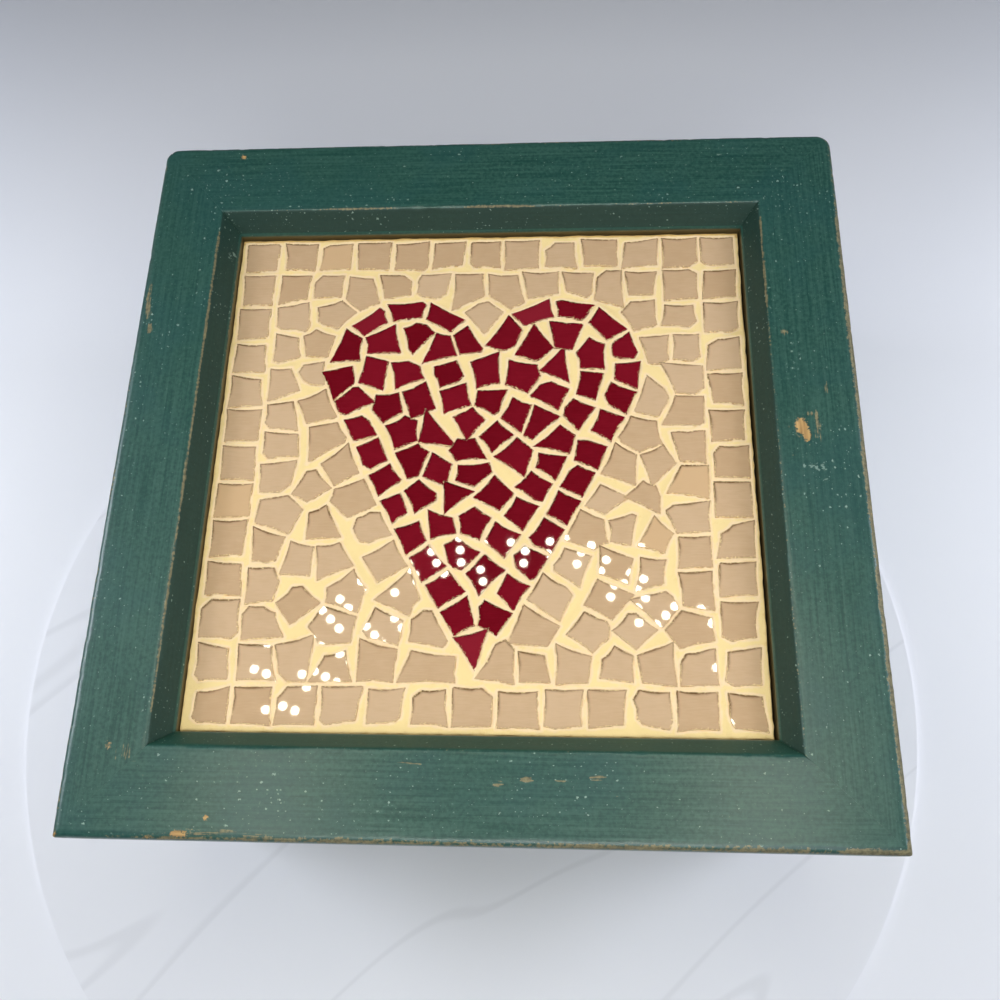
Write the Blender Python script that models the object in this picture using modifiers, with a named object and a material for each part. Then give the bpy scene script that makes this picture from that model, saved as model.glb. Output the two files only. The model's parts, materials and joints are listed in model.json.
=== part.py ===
"""Square wooden box with a lift-off lid: four mitred rails round a sunk glass mosaic of a heart.

The box stands on its bottom board, centred on the world origin, with its front towards -Y.
The lid's underside carries a shallow tongue that drops inside the walls and keeps the lid in place.
"""

import math

import bmesh
import bpy
import numpy as np

# Box body. Every length here is in metres.
BODY_HEIGHT = 0.064
WALL_THICKNESS = 0.007
BOTTOM_THICKNESS = 0.005
BOARD_EASE = 0.0005

# Lid frame. Each rail's width is its flat top, from the outer edge to the start of the inner slope.
# In plan the lid's two back corners are rounded and its two front corners are square.
LID_WIDTH = 0.178
LID_DEPTH = 0.178
LID_THICKNESS = 0.016
LID_OVERHANG = 0.007
RAIL_LEFT = 0.0181
RAIL_RIGHT = 0.0200
RAIL_BACK = 0.0209
RAIL_FRONT = 0.0193
SLOPE_WIDTH = 0.0037
SLOPE_DROP = 0.0061
BACK_CORNER_ROUND = 0.0035
TOP_EASE = 0.0016
UNDER_EASE = 0.0006
TONGUE_DROP = 0.004
TONGUE_PLAY = 0.0008
LEDGE_WIDTH = 0.004

# Mosaic. The tiles' tops lie this far under the lid's face, and a dark slit runs round the slab.
TILE_TOP_DROP = 0.0074
TILE_HEIGHT = 0.0033
BED_THICKNESS = 0.0006
BED_OVERLAP = 0.0003
GROUT_RISE = 0.0002
SLIT_WIDTH = 0.0011
GROUT_MARGIN = 0.0007

# Tile cutting. Pitches are from tile centre to tile centre, and a joint is the grout between two tiles.
BORDER_PITCH = 0.0098
FIELD_PITCH = 0.0090
HEART_PITCH = 0.0080
JOINT_WIDTH = 0.0010
WIDEST_JOINT = 1.6
MOST_CORNERS = 5
NIPPED_SHARE = 0.12
SMALLEST_TILE = 0.0035

# How the tiles are laid, as shares of a pitch: how far one may stray from its place, and the room
# that it keeps to the next tile, to the heart's outline and to the border course.
BORDER_STRAY = 0.09
BORDER_WAVER = 0.06
COURSE_STRAY = 0.13
COURSE_HEART_ROOM = 0.42
TIP_SETBACK = 0.75
ROW_STRAY = 0.12
ROW_TILE_ROOM = 0.78
ROW_DEPTH_KEPT = 0.8
HUG_TILE_ROOM = 0.74
HUG_BORDER_ROOM = 0.3
DART_TILE_ROOM = 0.8
DART_HEART_ROOM = 0.4
DART_BORDER_ROOM = 0.35
DARTS = 6000
EVENING_ROUNDS = 2
CUTTING_SEED = 11

# Heart. Its width is across both lobes, and its height from the tip to the top of a lobe.
# Each round lobe reaches this far past the heart's middle line, where the two cross in the cleft.
HEART_WIDTH = 0.080
HEART_HEIGHT = 0.0974
LOBE_CROSSING = 0.001
FLANK_BULGE = 0.0018
HEART_DROP = 0.0024
ARC_POINTS = 29
FLANK_POINTS = 13

# Clearance between pieces that touch in the real box.
GAP = 0.0003

MILLIMETRE = 0.001
TOUCHING = 1e-6

# Heights and places that follow from the sizes above.
BODY_WIDTH = LID_WIDTH - 2 * LID_OVERHANG
BODY_DEPTH = LID_DEPTH - 2 * LID_OVERHANG
LID_BASE = BODY_HEIGHT + GAP
LID_TOP = LID_BASE + LID_THICKNESS
TILE_TOP = LID_TOP - TILE_TOP_DROP
BED_TOP = TILE_TOP - TILE_HEIGHT
BED_BASE = BED_TOP - BED_THICKNESS
PANEL_TOP = BED_BASE - GAP
OPENING_WIDTH = LID_WIDTH - RAIL_LEFT - RAIL_RIGHT
OPENING_DEPTH = LID_DEPTH - RAIL_BACK - RAIL_FRONT
OPENING_X = (RAIL_LEFT - RAIL_RIGHT) / 2
OPENING_Y = (RAIL_FRONT - RAIL_BACK) / 2
LIP_WIDTH = OPENING_WIDTH - 2 * SLOPE_WIDTH
LIP_DEPTH = OPENING_DEPTH - 2 * SLOPE_WIDTH
PANEL_WIDTH = LIP_WIDTH + 2 * LEDGE_WIDTH
PANEL_DEPTH = LIP_DEPTH + 2 * LEDGE_WIDTH
SLAB_WIDTH = LIP_WIDTH - 2 * SLIT_WIDTH
SLAB_DEPTH = LIP_DEPTH - 2 * SLIT_WIDTH
TILED_WIDTH = SLAB_WIDTH - 2 * GROUT_MARGIN + JOINT_WIDTH
TILED_DEPTH = SLAB_DEPTH - 2 * GROUT_MARGIN + JOINT_WIDTH
LOBE_RADIUS = (HEART_WIDTH / 2 + LOBE_CROSSING) / 2


def clear_scene():
    """Takes away whatever objects the scene opened with."""
    for obj in list(bpy.data.objects):
        bpy.data.objects.remove(obj, do_unlink=True)


def new_collection(name):
    collection = bpy.data.collections.new(name)
    bpy.context.scene.collection.children.link(collection)
    return collection


def finish(name, colour, roughness):
    """A plain material that stands for one of the box's finishes."""
    material = bpy.data.materials.new(name)
    material.use_nodes = True
    shader = material.node_tree.nodes["Principled BSDF"]
    shader.inputs["Base Color"].default_value = (*colour, 1.0)
    shader.inputs["Roughness"].default_value = roughness
    shader.inputs["Metallic"].default_value = 0.0
    return material


def add_object(name, mesh, collection, material=None, parent=None, location=(0, 0, 0)):
    """Puts a mesh into the scene as a named object, placed by its location under its parent."""
    obj = bpy.data.objects.new(name, mesh)
    collection.objects.link(obj)
    obj.parent = parent
    obj.location = location
    if material:
        mesh.materials.clear()
        mesh.materials.append(material)
    return obj


def add_empty(name, collection, location):
    empty = bpy.data.objects.new(name, None)
    collection.objects.link(empty)
    empty.location = location
    return empty


def block_mesh(name, size, top_scale=(1.0, 1.0)):
    """A box of this size about its centre. top_scale widens or narrows its upper face."""
    bm = bmesh.new()
    bmesh.ops.create_cube(bm, size=1.0)
    for vertex in bm.verts:
        scale = top_scale if vertex.co.z > 0 else (1.0, 1.0)
        vertex.co.x *= size[0] * scale[0]
        vertex.co.y *= size[1] * scale[1]
        vertex.co.z *= size[2]
    mesh = bpy.data.meshes.new(name)
    bm.to_mesh(mesh)
    bm.free()
    return mesh


def flat_mesh(name, outlines, thickness):
    """A flat plate about z = 0, from outlines that are filled, with holes where one lies in another.

    The curve is drawn in millimetres, because filling merges points under 0.00003 units apart.
    """
    curve = bpy.data.curves.new(name + " outline", "CURVE")
    curve.dimensions = "2D"
    curve.fill_mode = "BOTH"
    curve.extrude = thickness / 2 / MILLIMETRE
    for outline in outlines:
        spline = curve.splines.new("POLY")
        spline.points.add(len(outline) - 1)
        for point, (x, y) in zip(spline.points, outline):
            point.co = (x / MILLIMETRE, y / MILLIMETRE, 0.0, 1.0)
        spline.use_cyclic_u = True
    guide = bpy.data.objects.new(name + " outline", curve)
    bpy.context.scene.collection.objects.link(guide)
    evaluated = guide.evaluated_get(bpy.context.evaluated_depsgraph_get())
    mesh = bpy.data.meshes.new_from_object(evaluated)
    bpy.data.objects.remove(guide, do_unlink=True)
    mesh.name = name
    bm = bmesh.new()
    bm.from_mesh(mesh)
    bmesh.ops.remove_doubles(bm, verts=bm.verts, dist=TOUCHING / MILLIMETRE)
    bmesh.ops.scale(bm, vec=(MILLIMETRE, MILLIMETRE, MILLIMETRE), verts=bm.verts)
    bmesh.ops.recalc_face_normals(bm, faces=bm.faces)
    bm.to_mesh(mesh)
    bm.free()
    return mesh


def hide_cutter(obj):
    obj.hide_render = True
    obj.display_type = "WIRE"


def cut(obj, cutter, operation):
    """Adds a Boolean between an object and a cutter, which may be many shapes side by side."""
    modifier = obj.modifiers.new(operation.title() + " " + cutter.name, "BOOLEAN")
    modifier.operation = operation
    modifier.solver = "EXACT"
    modifier.use_self = True
    modifier.object = cutter


def ease_edges(obj, width):
    """Takes the sharpness off every edge of a board."""
    modifier = obj.modifiers.new("Eased edges", "BEVEL")
    modifier.width = width
    modifier.limit_method = "ANGLE"


# Body: a bottom board, front and back boards of the full width, and side boards between them.


def build_body(collection, paint):
    base = add_empty("body", collection, (0, 0, 0))
    bottom = block_mesh("bottom_board", (BODY_WIDTH, BODY_DEPTH, BOTTOM_THICKNESS))
    boards = [add_object("bottom_board", bottom, collection, paint, base, (0, 0, BOTTOM_THICKNESS / 2))]
    wall_base = BOTTOM_THICKNESS + GAP
    wall_height = BODY_HEIGHT - wall_base
    middle = wall_base + wall_height / 2
    side_length = BODY_DEPTH - 2 * WALL_THICKNESS - 2 * GAP
    for name, side in (("front_board", -1), ("back_board", 1)):
        mesh = block_mesh(name, (BODY_WIDTH, WALL_THICKNESS, wall_height))
        place = (0, side * (BODY_DEPTH - WALL_THICKNESS) / 2, middle)
        boards.append(add_object(name, mesh, collection, paint, base, place))
    for name, side in (("left_board", -1), ("right_board", 1)):
        mesh = block_mesh(name, (WALL_THICKNESS, side_length, wall_height))
        place = (side * (BODY_WIDTH - WALL_THICKNESS) / 2, 0, middle)
        boards.append(add_object(name, mesh, collection, paint, base, place))
    for board in boards:
        ease_edges(board, BOARD_EASE)


# Lid frame: one blank with rounded back corners, cut out for the mosaic and parted at its mitres.


def lid_blank_mesh(name):
    """The lid's outer block with its back corners rounded and its rims eased, centred on z = 0."""
    mesh = block_mesh(name, (LID_WIDTH, LID_DEPTH, LID_THICKNESS))
    bm = bmesh.new()
    bm.from_mesh(mesh)
    upright = [edge for edge in bm.edges if abs(edge.verts[0].co.z - edge.verts[1].co.z) > LID_THICKNESS / 2]
    at_back = [edge for edge in upright if edge.verts[0].co.y > 0]
    bmesh.ops.bevel(bm, geom=at_back, offset=BACK_CORNER_ROUND, segments=4, profile=0.5, affect="EDGES")
    for ease, segments, side in ((TOP_EASE, 3, 1), (UNDER_EASE, 1, -1)):
        face = max(bm.faces, key=lambda each: side * each.calc_center_median().z)
        rim = list(face.edges)
        bmesh.ops.bevel(bm, geom=rim, offset=ease, segments=segments, profile=0.5, affect="EDGES")
    bm.to_mesh(mesh)
    bm.free()
    return mesh


def opening_cutters(collection, lid):
    """The sloped mouth, the straight lip below it and the panel's rabbet, as cutters on the lid."""
    over = SLOPE_DROP / 2
    slope = SLOPE_WIDTH / SLOPE_DROP
    low_width = LIP_WIDTH - 2 * over * slope
    low_depth = LIP_DEPTH - 2 * over * slope
    high_width = OPENING_WIDTH + 2 * over * slope
    high_depth = OPENING_DEPTH + 2 * over * slope
    height = SLOPE_DROP + 2 * over
    scale = (high_width / low_width, high_depth / low_depth)
    middle = LID_THICKNESS - SLOPE_DROP / 2
    mouth = block_mesh("mouth cutter", (low_width, low_depth, height), scale)
    through = block_mesh("lip cutter", (LIP_WIDTH, LIP_DEPTH, 3 * LID_THICKNESS))
    rabbet_top = PANEL_TOP + GAP - LID_BASE
    rabbet_height = rabbet_top + 2 * TONGUE_DROP
    rabbet = block_mesh("rabbet cutter", (PANEL_WIDTH + 2 * GAP, PANEL_DEPTH + 2 * GAP, rabbet_height))
    places = (
        ("mouth cutter", mouth, middle),
        ("lip cutter", through, 0.0),
        ("rabbet cutter", rabbet, rabbet_top - rabbet_height / 2),
    )
    made = []
    for name, mesh, z in places:
        made.append(add_object(name, mesh, collection, None, lid, (OPENING_X, OPENING_Y, z)))
        hide_cutter(made[-1])
    return made


def tongue_block(collection, lid):
    """The block under the frame from which the tongue is left once the rabbet is cut."""
    width = BODY_WIDTH - 2 * WALL_THICKNESS - 2 * TONGUE_PLAY
    depth = BODY_DEPTH - 2 * WALL_THICKNESS - 2 * TONGUE_PLAY
    height = TONGUE_DROP + LID_THICKNESS / 4
    mesh = block_mesh("tongue block", (width, depth, height))
    block = add_object("tongue block", mesh, collection, None, lid, (0, 0, height / 2 - TONGUE_DROP))
    hide_cutter(block)
    return block


def mitre_outline(side):
    """The plan outline that keeps one rail: along both mitres, then on past the slope at 45 degrees.

    It is moved outwards so that two neighbouring rails end half a gap from their mitre each.
    """
    left, right = -LID_WIDTH / 2, LID_WIDTH / 2
    front, back = -LID_DEPTH / 2, LID_DEPTH / 2
    outer = {
        "front": ((left, front), (right, front)),
        "right": ((right, front), (right, back)),
        "back": ((right, back), (left, back)),
        "left": ((left, back), (left, front)),
    }[side]
    outward = {"front": (0, -1), "right": (1, 0), "back": (0, 1), "left": (-1, 0)}[side]
    past_slope = SLOPE_WIDTH + 2 * LEDGE_WIDTH
    ends = []
    for x, y in outer:
        arris_x = OPENING_X + math.copysign(OPENING_WIDTH / 2, x)
        arris_y = OPENING_Y + math.copysign(OPENING_DEPTH / 2, y)
        inner_x = arris_x - math.copysign(past_slope, x)
        inner_y = arris_y - math.copysign(past_slope, y)
        ends.append(((2 * x - arris_x, 2 * y - arris_y), (arris_x, arris_y), (inner_x, inner_y)))
    first, last = ends
    outline = [first[2], first[1], first[0], last[0], last[1], last[2]]
    shift = GAP / math.sqrt(2)
    return [(x + shift * outward[0], y + shift * outward[1]) for x, y in outline]


def build_frame(collection, cutters, paint, lid):
    openings = opening_cutters(cutters, lid)
    tongue = tongue_block(cutters, lid)
    for side in ("front", "right", "back", "left"):
        name = "lid_rail_" + side
        mesh = lid_blank_mesh(name)
        rail = add_object(name, mesh, collection, paint, lid, (0, 0, LID_THICKNESS / 2))
        wedge_mesh = flat_mesh(side + " mitre", [mitre_outline(side)], 4 * LID_THICKNESS)
        wedge = add_object(side + " mitre", wedge_mesh, cutters, None, lid)
        hide_cutter(wedge)
        cut(rail, tongue, "UNION")
        for opening in openings:
            cut(rail, opening, "DIFFERENCE")
        cut(rail, wedge, "INTERSECT")
        rail.data.shade_smooth()
        rail.data.set_sharp_from_angle(angle=math.radians(35))


# Heart outline: two round lobes that cross at the cleft, and flanks that run tangent down to the tip.


def heart_halves(grow=0.0):
    """The right and the left half of the heart, each a convex outline, moved outwards by grow.

    The places are in the mosaic's plan, with the mosaic's centre at (0, 0).
    """
    radius = LOBE_RADIUS + grow
    lobe_x = HEART_WIDTH / 2 - LOBE_RADIUS
    lobe_y = HEART_HEIGHT / 2 - LOBE_RADIUS - HEART_DROP
    tip_y = -HEART_HEIGHT / 2 - HEART_DROP
    lean = math.atan2(lobe_x, lobe_y - tip_y)
    reach = math.asin(LOBE_RADIUS / math.hypot(lobe_x, lobe_y - tip_y))
    flank_angle = lean + reach
    tip = np.array((0.0, tip_y - grow / math.sin(flank_angle)))
    cleft_y = lobe_y + math.sqrt(radius**2 - lobe_x**2)
    touch = -flank_angle
    crossing = math.atan2(cleft_y - lobe_y, -lobe_x)
    turn = np.linspace(touch, crossing, ARC_POINTS)
    arc = np.column_stack((lobe_x + radius * np.cos(turn), lobe_y + radius * np.sin(turn)))
    share = np.linspace(0.0, 1.0, FLANK_POINTS)[:-1, None]
    outward = np.array((math.cos(touch), math.sin(touch)))
    flank = tip + (arc[0] - tip) * share + FLANK_BULGE * np.sin(math.pi * share) * outward
    right = np.vstack((flank, arc))
    left = (right * (-1, 1))[::-1]
    return right, left


def heart_outline(grow=0.0):
    """The whole heart, anticlockwise from the tip."""
    right, left = heart_halves(grow)
    return np.vstack((right, left[1:-1]))


def nearest_on(outline, point):
    """The nearest point of an open outline, the outward normal there, and the distance."""
    start, end = outline[:-1], outline[1:]
    along = end - start
    share = ((point - start) * along).sum(axis=1) / (along**2).sum(axis=1)
    feet = start + along * np.clip(share, 0.0, 1.0)[:, None]
    distances = np.hypot(*(feet - point).T)
    best = int(np.argmin(distances))
    normal = np.array((along[best][1], -along[best][0]))
    return feet[best], normal / np.hypot(*normal), distances[best]


def inside_heart(point, halves):
    """Whether a point lies in either half, each of which runs on its outer side from tip to cleft."""
    for half in halves:
        ring = np.vstack((half, half[:1]))
        along = ring[1:] - ring[:-1]
        offset = point - ring[:-1]
        if (along[:, 0] * offset[:, 1] - along[:, 1] * offset[:, 0] >= 0).all():
            return True
    return False


def heart_distance(point, halves):
    """How far outside the heart a point is, negative inside."""
    away = min(nearest_on(half, point)[2] for half in halves)
    return -away if inside_heart(point, halves) else away


# Tile layout: seeds on courses along the border and along the heart, then one cell for each seed.


class Seed:
    """Where one tile is to lie: its centre, its group, and the lines that it may not cross.

    The group is border, field or heart. Only tiles of one group share the ground between them.
    """

    def __init__(self, place, group, limits=(), fixed=False):
        self.place = np.array(place)
        self.group = group
        self.limits = list(limits)
        self.fixed = fixed


def border_course(rng):
    """Square tiles all round the edge, the corner tiles shared by two sides."""
    columns = max(3, round(TILED_WIDTH / BORDER_PITCH))
    rows = max(3, round(TILED_DEPTH / BORDER_PITCH))
    step = np.array((TILED_WIDTH / columns, TILED_DEPTH / rows))
    seeds = []
    for column in range(columns):
        for row in range(rows):
            across = (column in (0, columns - 1), row in (0, rows - 1))
            if not any(across):
                continue
            grid = np.array((column + 0.5 - columns / 2, row + 0.5 - rows / 2))
            place = grid * step
            limits = []
            for axis in (0, 1):
                if across[axis]:
                    side = math.copysign(1.0, grid[axis])
                    inward = np.zeros(2)
                    inward[axis] = -side
                    line = place.copy()
                    line[axis] -= side * (0.5 - rng.uniform(0.0, BORDER_WAVER)) * step[axis]
                    limits.append((line, inward))
                else:
                    place[axis] += rng.uniform(-BORDER_STRAY, BORDER_STRAY) * step[axis]
            seeds.append(Seed(place, "border", limits, True))
    return seeds, step


def inner_edge_limits(step):
    """The four lines that keep all other tiles clear of the border course."""
    limits = []
    for axis, size in ((0, TILED_WIDTH), (1, TILED_DEPTH)):
        for side in (-1.0, 1.0):
            outward = np.zeros(2)
            outward[axis] = side
            limits.append((outward * (size / 2 - step[axis]), outward))
    return limits


def free_of(seeds, place, distance):
    return all(np.hypot(*(seed.place - place)) >= distance for seed in seeds)


def second_course(seeds, step, halves, limits, rng):
    """A looser row of field tiles inside the border."""
    half = np.array((TILED_WIDTH, TILED_DEPTH)) / 2 - 1.5 * step
    corners = half * np.array(((-1, -1), (1, -1), (1, 1), (-1, 1)))
    added = []
    for start, end in zip(corners, np.roll(corners, -1, axis=0)):
        count = max(1, round(np.hypot(*(end - start)) / FIELD_PITCH))
        for i in range(count):
            stray = rng.uniform(-COURSE_STRAY, COURSE_STRAY, 2) * FIELD_PITCH
            place = start + (end - start) * i / count + stray
            if heart_distance(place, halves) > COURSE_HEART_ROOM * FIELD_PITCH:
                added.append(Seed(place, "field", limits))
    seeds.extend(added)


def along_heart(offset, pitch):
    """Places a pitch apart on a line that follows the heart, this far outside it or, below 0, inside."""
    outline = heart_outline(offset) if offset > 0 else heart_outline()
    ring = np.vstack((outline, outline[:1]))
    run = np.concatenate(([0.0], np.cumsum(np.hypot(*np.diff(ring, axis=0).T))))
    count = max(3, round(run[-1] / pitch))
    at = (np.arange(count) + 0.5) * run[-1] / count
    places = np.column_stack((np.interp(at, run, ring[:, 0]), np.interp(at, run, ring[:, 1])))
    if offset >= 0:
        return places
    at = at - pitch / 100
    before = np.column_stack((np.interp(at, run, ring[:, 0]), np.interp(at, run, ring[:, 1])))
    along = places - before
    inward = np.column_stack((-along[:, 1], along[:, 0])) / np.hypot(*along.T)[:, None]
    return places - inward * offset


def follow_heart(seeds, halves, limits, rng):
    """One red tile in the tip, rows of them inside the outline, and field tiles that hug it outside."""
    tip_y = heart_outline()[0][1]
    seeds.append(Seed((0.0, tip_y + TIP_SETBACK * HEART_PITCH), "heart", fixed=True))
    row = 0.5
    while row * HEART_PITCH < LOBE_RADIUS:
        inset = row * HEART_PITCH
        for place in along_heart(-inset, HEART_PITCH):
            place = place + rng.uniform(-ROW_STRAY, ROW_STRAY, 2) * inset
            deep = -heart_distance(place, halves) > ROW_DEPTH_KEPT * inset
            if deep and free_of(seeds, place, ROW_TILE_ROOM * HEART_PITCH):
                seeds.append(Seed(place, "heart"))
        row += 1.0
    for place in along_heart(0.5 * FIELD_PITCH, FIELD_PITCH):
        held = all((place - line) @ outward < -HUG_BORDER_ROOM * FIELD_PITCH for line, outward in limits)
        if held and free_of(seeds, place, HUG_TILE_ROOM * FIELD_PITCH):
            seeds.append(Seed(place, "field", limits))


def fill_rest(seeds, halves, limits, rng):
    """Drops further tiles at random wherever there is room left for one."""
    reach = np.array((TILED_WIDTH, TILED_DEPTH)) / 2
    for _ in range(DARTS):
        place = rng.uniform(-reach, reach)
        distance = heart_distance(place, halves)
        group = "heart" if distance < 0 else "field"
        pitch = HEART_PITCH if group == "heart" else FIELD_PITCH
        held = all((place - line) @ outward < -DART_BORDER_ROOM * pitch for line, outward in limits)
        clear = abs(distance) > DART_HEART_ROOM * pitch
        if held and clear and free_of(seeds, place, DART_TILE_ROOM * pitch):
            seeds.append(Seed(place, group, limits))


def clipped(polygon, line, outward):
    """A convex polygon without what lies beyond the line through a point, on the outward side."""
    side = (polygon - line) @ outward
    corners = []
    for i, corner in enumerate(polygon):
        after = (i + 1) % len(polygon)
        if side[i] <= 0:
            corners.append(corner)
        if side[i] * side[after] < 0:
            corners.append(corner + (polygon[after] - corner) * side[i] / (side[i] - side[after]))
    return np.array(corners).reshape(-1, 2)


def area_of(polygon):
    x, y = polygon.T
    return 0.5 * float(np.sum(x * np.roll(y, -1) - np.roll(x, -1) * y))


def clear_of_outline(cell, seed, halves):
    """Cuts a cell back to its own side of the heart's outline, by straight cuts along it."""
    if seed.group != "heart":
        for half in halves:
            foot, _, distance = nearest_on(half, seed.place)
            cell = clipped(cell, foot, (foot - seed.place) / distance)
        return cell
    for _ in range(ARC_POINTS):
        outside = [corner for corner in cell if heart_distance(corner, halves) > TOUCHING]
        if not outside:
            break
        cuts = [nearest_on(half, outside[0]) for half in halves]
        cuts = [each for each in cuts if (seed.place - each[0]) @ each[1] < 0]
        if not cuts:
            break
        foot, outward, _ = min(cuts, key=lambda each: each[2])
        cell = clipped(cell, foot, outward)
    return cell


def cell_of(seed, seeds, halves):
    """The ground nearer to this seed than to any other, within the lines that bound it."""
    half = np.array((TILED_WIDTH, TILED_DEPTH)) / 2
    cell = half * np.array(((-1, -1), (1, -1), (1, 1), (-1, 1)))
    for other in seeds:
        if other.group == seed.group and other is not seed:
            towards = other.place - seed.place
            cell = clipped(cell, (seed.place + other.place) / 2, towards / np.hypot(*towards))
    for line, outward in seed.limits:
        cell = clipped(cell, line, outward)
    return clear_of_outline(cell, seed, halves)


def with_fewer_corners(polygon):
    """Drops the corners that matter least, as a nipper leaves four or five sides."""
    while len(polygon) > 3:
        losses = []
        for i in range(len(polygon)):
            triangle = np.array((polygon[i - 1], polygon[i], polygon[(i + 1) % len(polygon)]))
            losses.append(area_of(triangle))
        least = int(np.argmin(losses))
        if len(polygon) <= MOST_CORNERS and losses[least] > NIPPED_SHARE * area_of(polygon):
            break
        polygon = np.delete(polygon, least, axis=0)
    return polygon


def cut_tile(cell, rng):
    """A tile from its cell: few corners, each side pulled in by half a joint and turned a little."""
    tile = with_fewer_corners(cell)
    sides = list(zip(tile, np.roll(tile, -1, axis=0)))
    for start, end in sides:
        along = (end - start) / np.hypot(*(end - start))
        outward = np.array((along[1], -along[0]))
        inset = JOINT_WIDTH / 2 * rng.uniform(1.0, WIDEST_JOINT, 2)
        first, last = start - outward * inset[0], end - outward * inset[1]
        turned = (last - first) / np.hypot(*(last - first))
        tile = clipped(tile, first, np.array((turned[1], -turned[0])))
        if len(tile) < 3:
            return None
    tile = with_fewer_corners(tile)
    if area_of(tile) < SMALLEST_TILE**2:
        return None
    return tile


def moved_out(polygon, distance):
    """A convex outline with each side moved outwards by the same distance."""
    after = np.roll(polygon, -1, axis=0)
    along = (after - polygon) / np.hypot(*(after - polygon).T)[:, None]
    outward = np.column_stack((along[:, 1], -along[:, 0]))
    before = np.roll(outward, 1, axis=0)
    share = distance / (1 + (before * outward).sum(axis=1))
    return polygon + (before + outward) * share[:, None]


def lay_out_tiles():
    """The outlines of the red heart tiles and of the field tiles, in the mosaic's plan."""
    rng = np.random.default_rng(CUTTING_SEED)
    halves = heart_halves()
    seeds, step = border_course(rng)
    limits = inner_edge_limits(step)
    second_course(seeds, step, halves, limits, rng)
    follow_heart(seeds, halves, limits, rng)
    fill_rest(seeds, halves, limits, rng)
    for _ in range(EVENING_ROUNDS):
        cells = [cell_of(seed, seeds, halves) for seed in seeds]
        for seed, cell in zip(seeds, cells):
            if not seed.fixed and len(cell) > 2:
                seed.place = 0.5 * seed.place + 0.5 * cell.mean(axis=0)
    red, field = [], []
    for seed in seeds:
        cell = cell_of(seed, seeds, halves)
        tile = cut_tile(cell, rng) if len(cell) > 2 else None
        if tile is not None:
            (red if seed.group == "heart" else field).append(tile)
    return red, field


# Mosaic: glass tiles that stand up from a thin bed of adhesive, and grout that fills between them.


def rectangle(width, depth):
    return np.array(((-1, -1), (1, -1), (1, 1), (-1, 1))) * (width / 2, depth / 2)


def tile_group(name, bed_outlines, tiles, collection, cutters, material, lid):
    """One bed with its tiles fused on, as one solid."""
    middle = (BED_TOP + BED_BASE) / 2 - LID_BASE
    bed = flat_mesh(name, bed_outlines, BED_THICKNESS)
    group = add_object(name, bed, collection, material, lid, (OPENING_X, OPENING_Y, middle))
    height = TILE_HEIGHT + BED_OVERLAP
    glass = flat_mesh(name + " glass", tiles, height)
    centre = TILE_TOP - height / 2 - LID_BASE
    tops = add_object(name + " glass", glass, cutters, None, lid, (OPENING_X, OPENING_Y, centre))
    hide_cutter(tops)
    cut(group, tops, "UNION")


def build_mosaic(collection, cutters, finishes, lid):
    panel_height = PANEL_TOP - LID_BASE
    panel = block_mesh("mosaic_panel", (PANEL_WIDTH, PANEL_DEPTH, panel_height))
    place = (OPENING_X, OPENING_Y, panel_height / 2)
    add_object("mosaic_panel", panel, collection, finishes["bare wood"], lid, place)

    red, field = lay_out_tiles()
    slab = rectangle(SLAB_WIDTH, SLAB_DEPTH)
    heart_bed = [heart_outline(-GAP / 2)]
    field_bed = [slab, heart_outline(GAP / 2)]
    tile_group("heart_tiles", heart_bed, red, collection, cutters, finishes["red glass"], lid)
    tile_group("field_tiles", field_bed, field, collection, cutters, finishes["beige glass"], lid)

    grout_height = TILE_HEIGHT + GROUT_RISE - GAP
    place = (OPENING_X, OPENING_Y, TILE_TOP + GROUT_RISE - grout_height / 2 - LID_BASE)
    slab_mesh = block_mesh("grout", (SLAB_WIDTH, SLAB_DEPTH, grout_height))
    grout = add_object("grout", slab_mesh, collection, finishes["grout"], lid, place)
    pocket_mesh = flat_mesh("tile pockets", [moved_out(tile, GAP) for tile in red + field], 2 * grout_height)
    pockets = add_object("tile pockets", pocket_mesh, cutters, None, lid, place)
    hide_cutter(pockets)
    cut(grout, pockets, "DIFFERENCE")


def main():
    clear_scene()
    box = new_collection("wooden mosaic box")
    cutters = new_collection("cutters")
    finishes = {
        "green paint": finish("green paint", (0.026, 0.105, 0.080), 0.42),
        "bare wood": finish("bare wood", (0.42, 0.27, 0.14), 0.7),
        "red glass": finish("red glass", (0.22, 0.004, 0.010), 0.08),
        "beige glass": finish("beige glass", (0.60, 0.41, 0.24), 0.1),
        "grout": finish("grout", (0.90, 0.73, 0.37), 0.85),
    }
    lid = add_empty("lid", box, (0, 0, LID_BASE))
    build_body(box, finishes["green paint"])
    build_frame(box, cutters, finishes["green paint"], lid)
    build_mosaic(box, cutters, finishes, lid)


main()
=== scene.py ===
# %% [markdown]
# # A painted box with a heart in glass mosaic
#
# The object is a small square keepsake box. Its lid is a wide mitred frame, painted dark green and
# worn at the edges, around a sunk panel of hand-cut glass tiles in cream grout.
#
# A solid model of the box is loaded first. It fixes every size and place. Each step below then makes
# one visible piece as a surface worked out with numpy, and gives it a finish made of shader nodes.

# %% Load the solid model
import json
import math

import bpy
import numpy as np
from mathutils import Matrix, Vector

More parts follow.
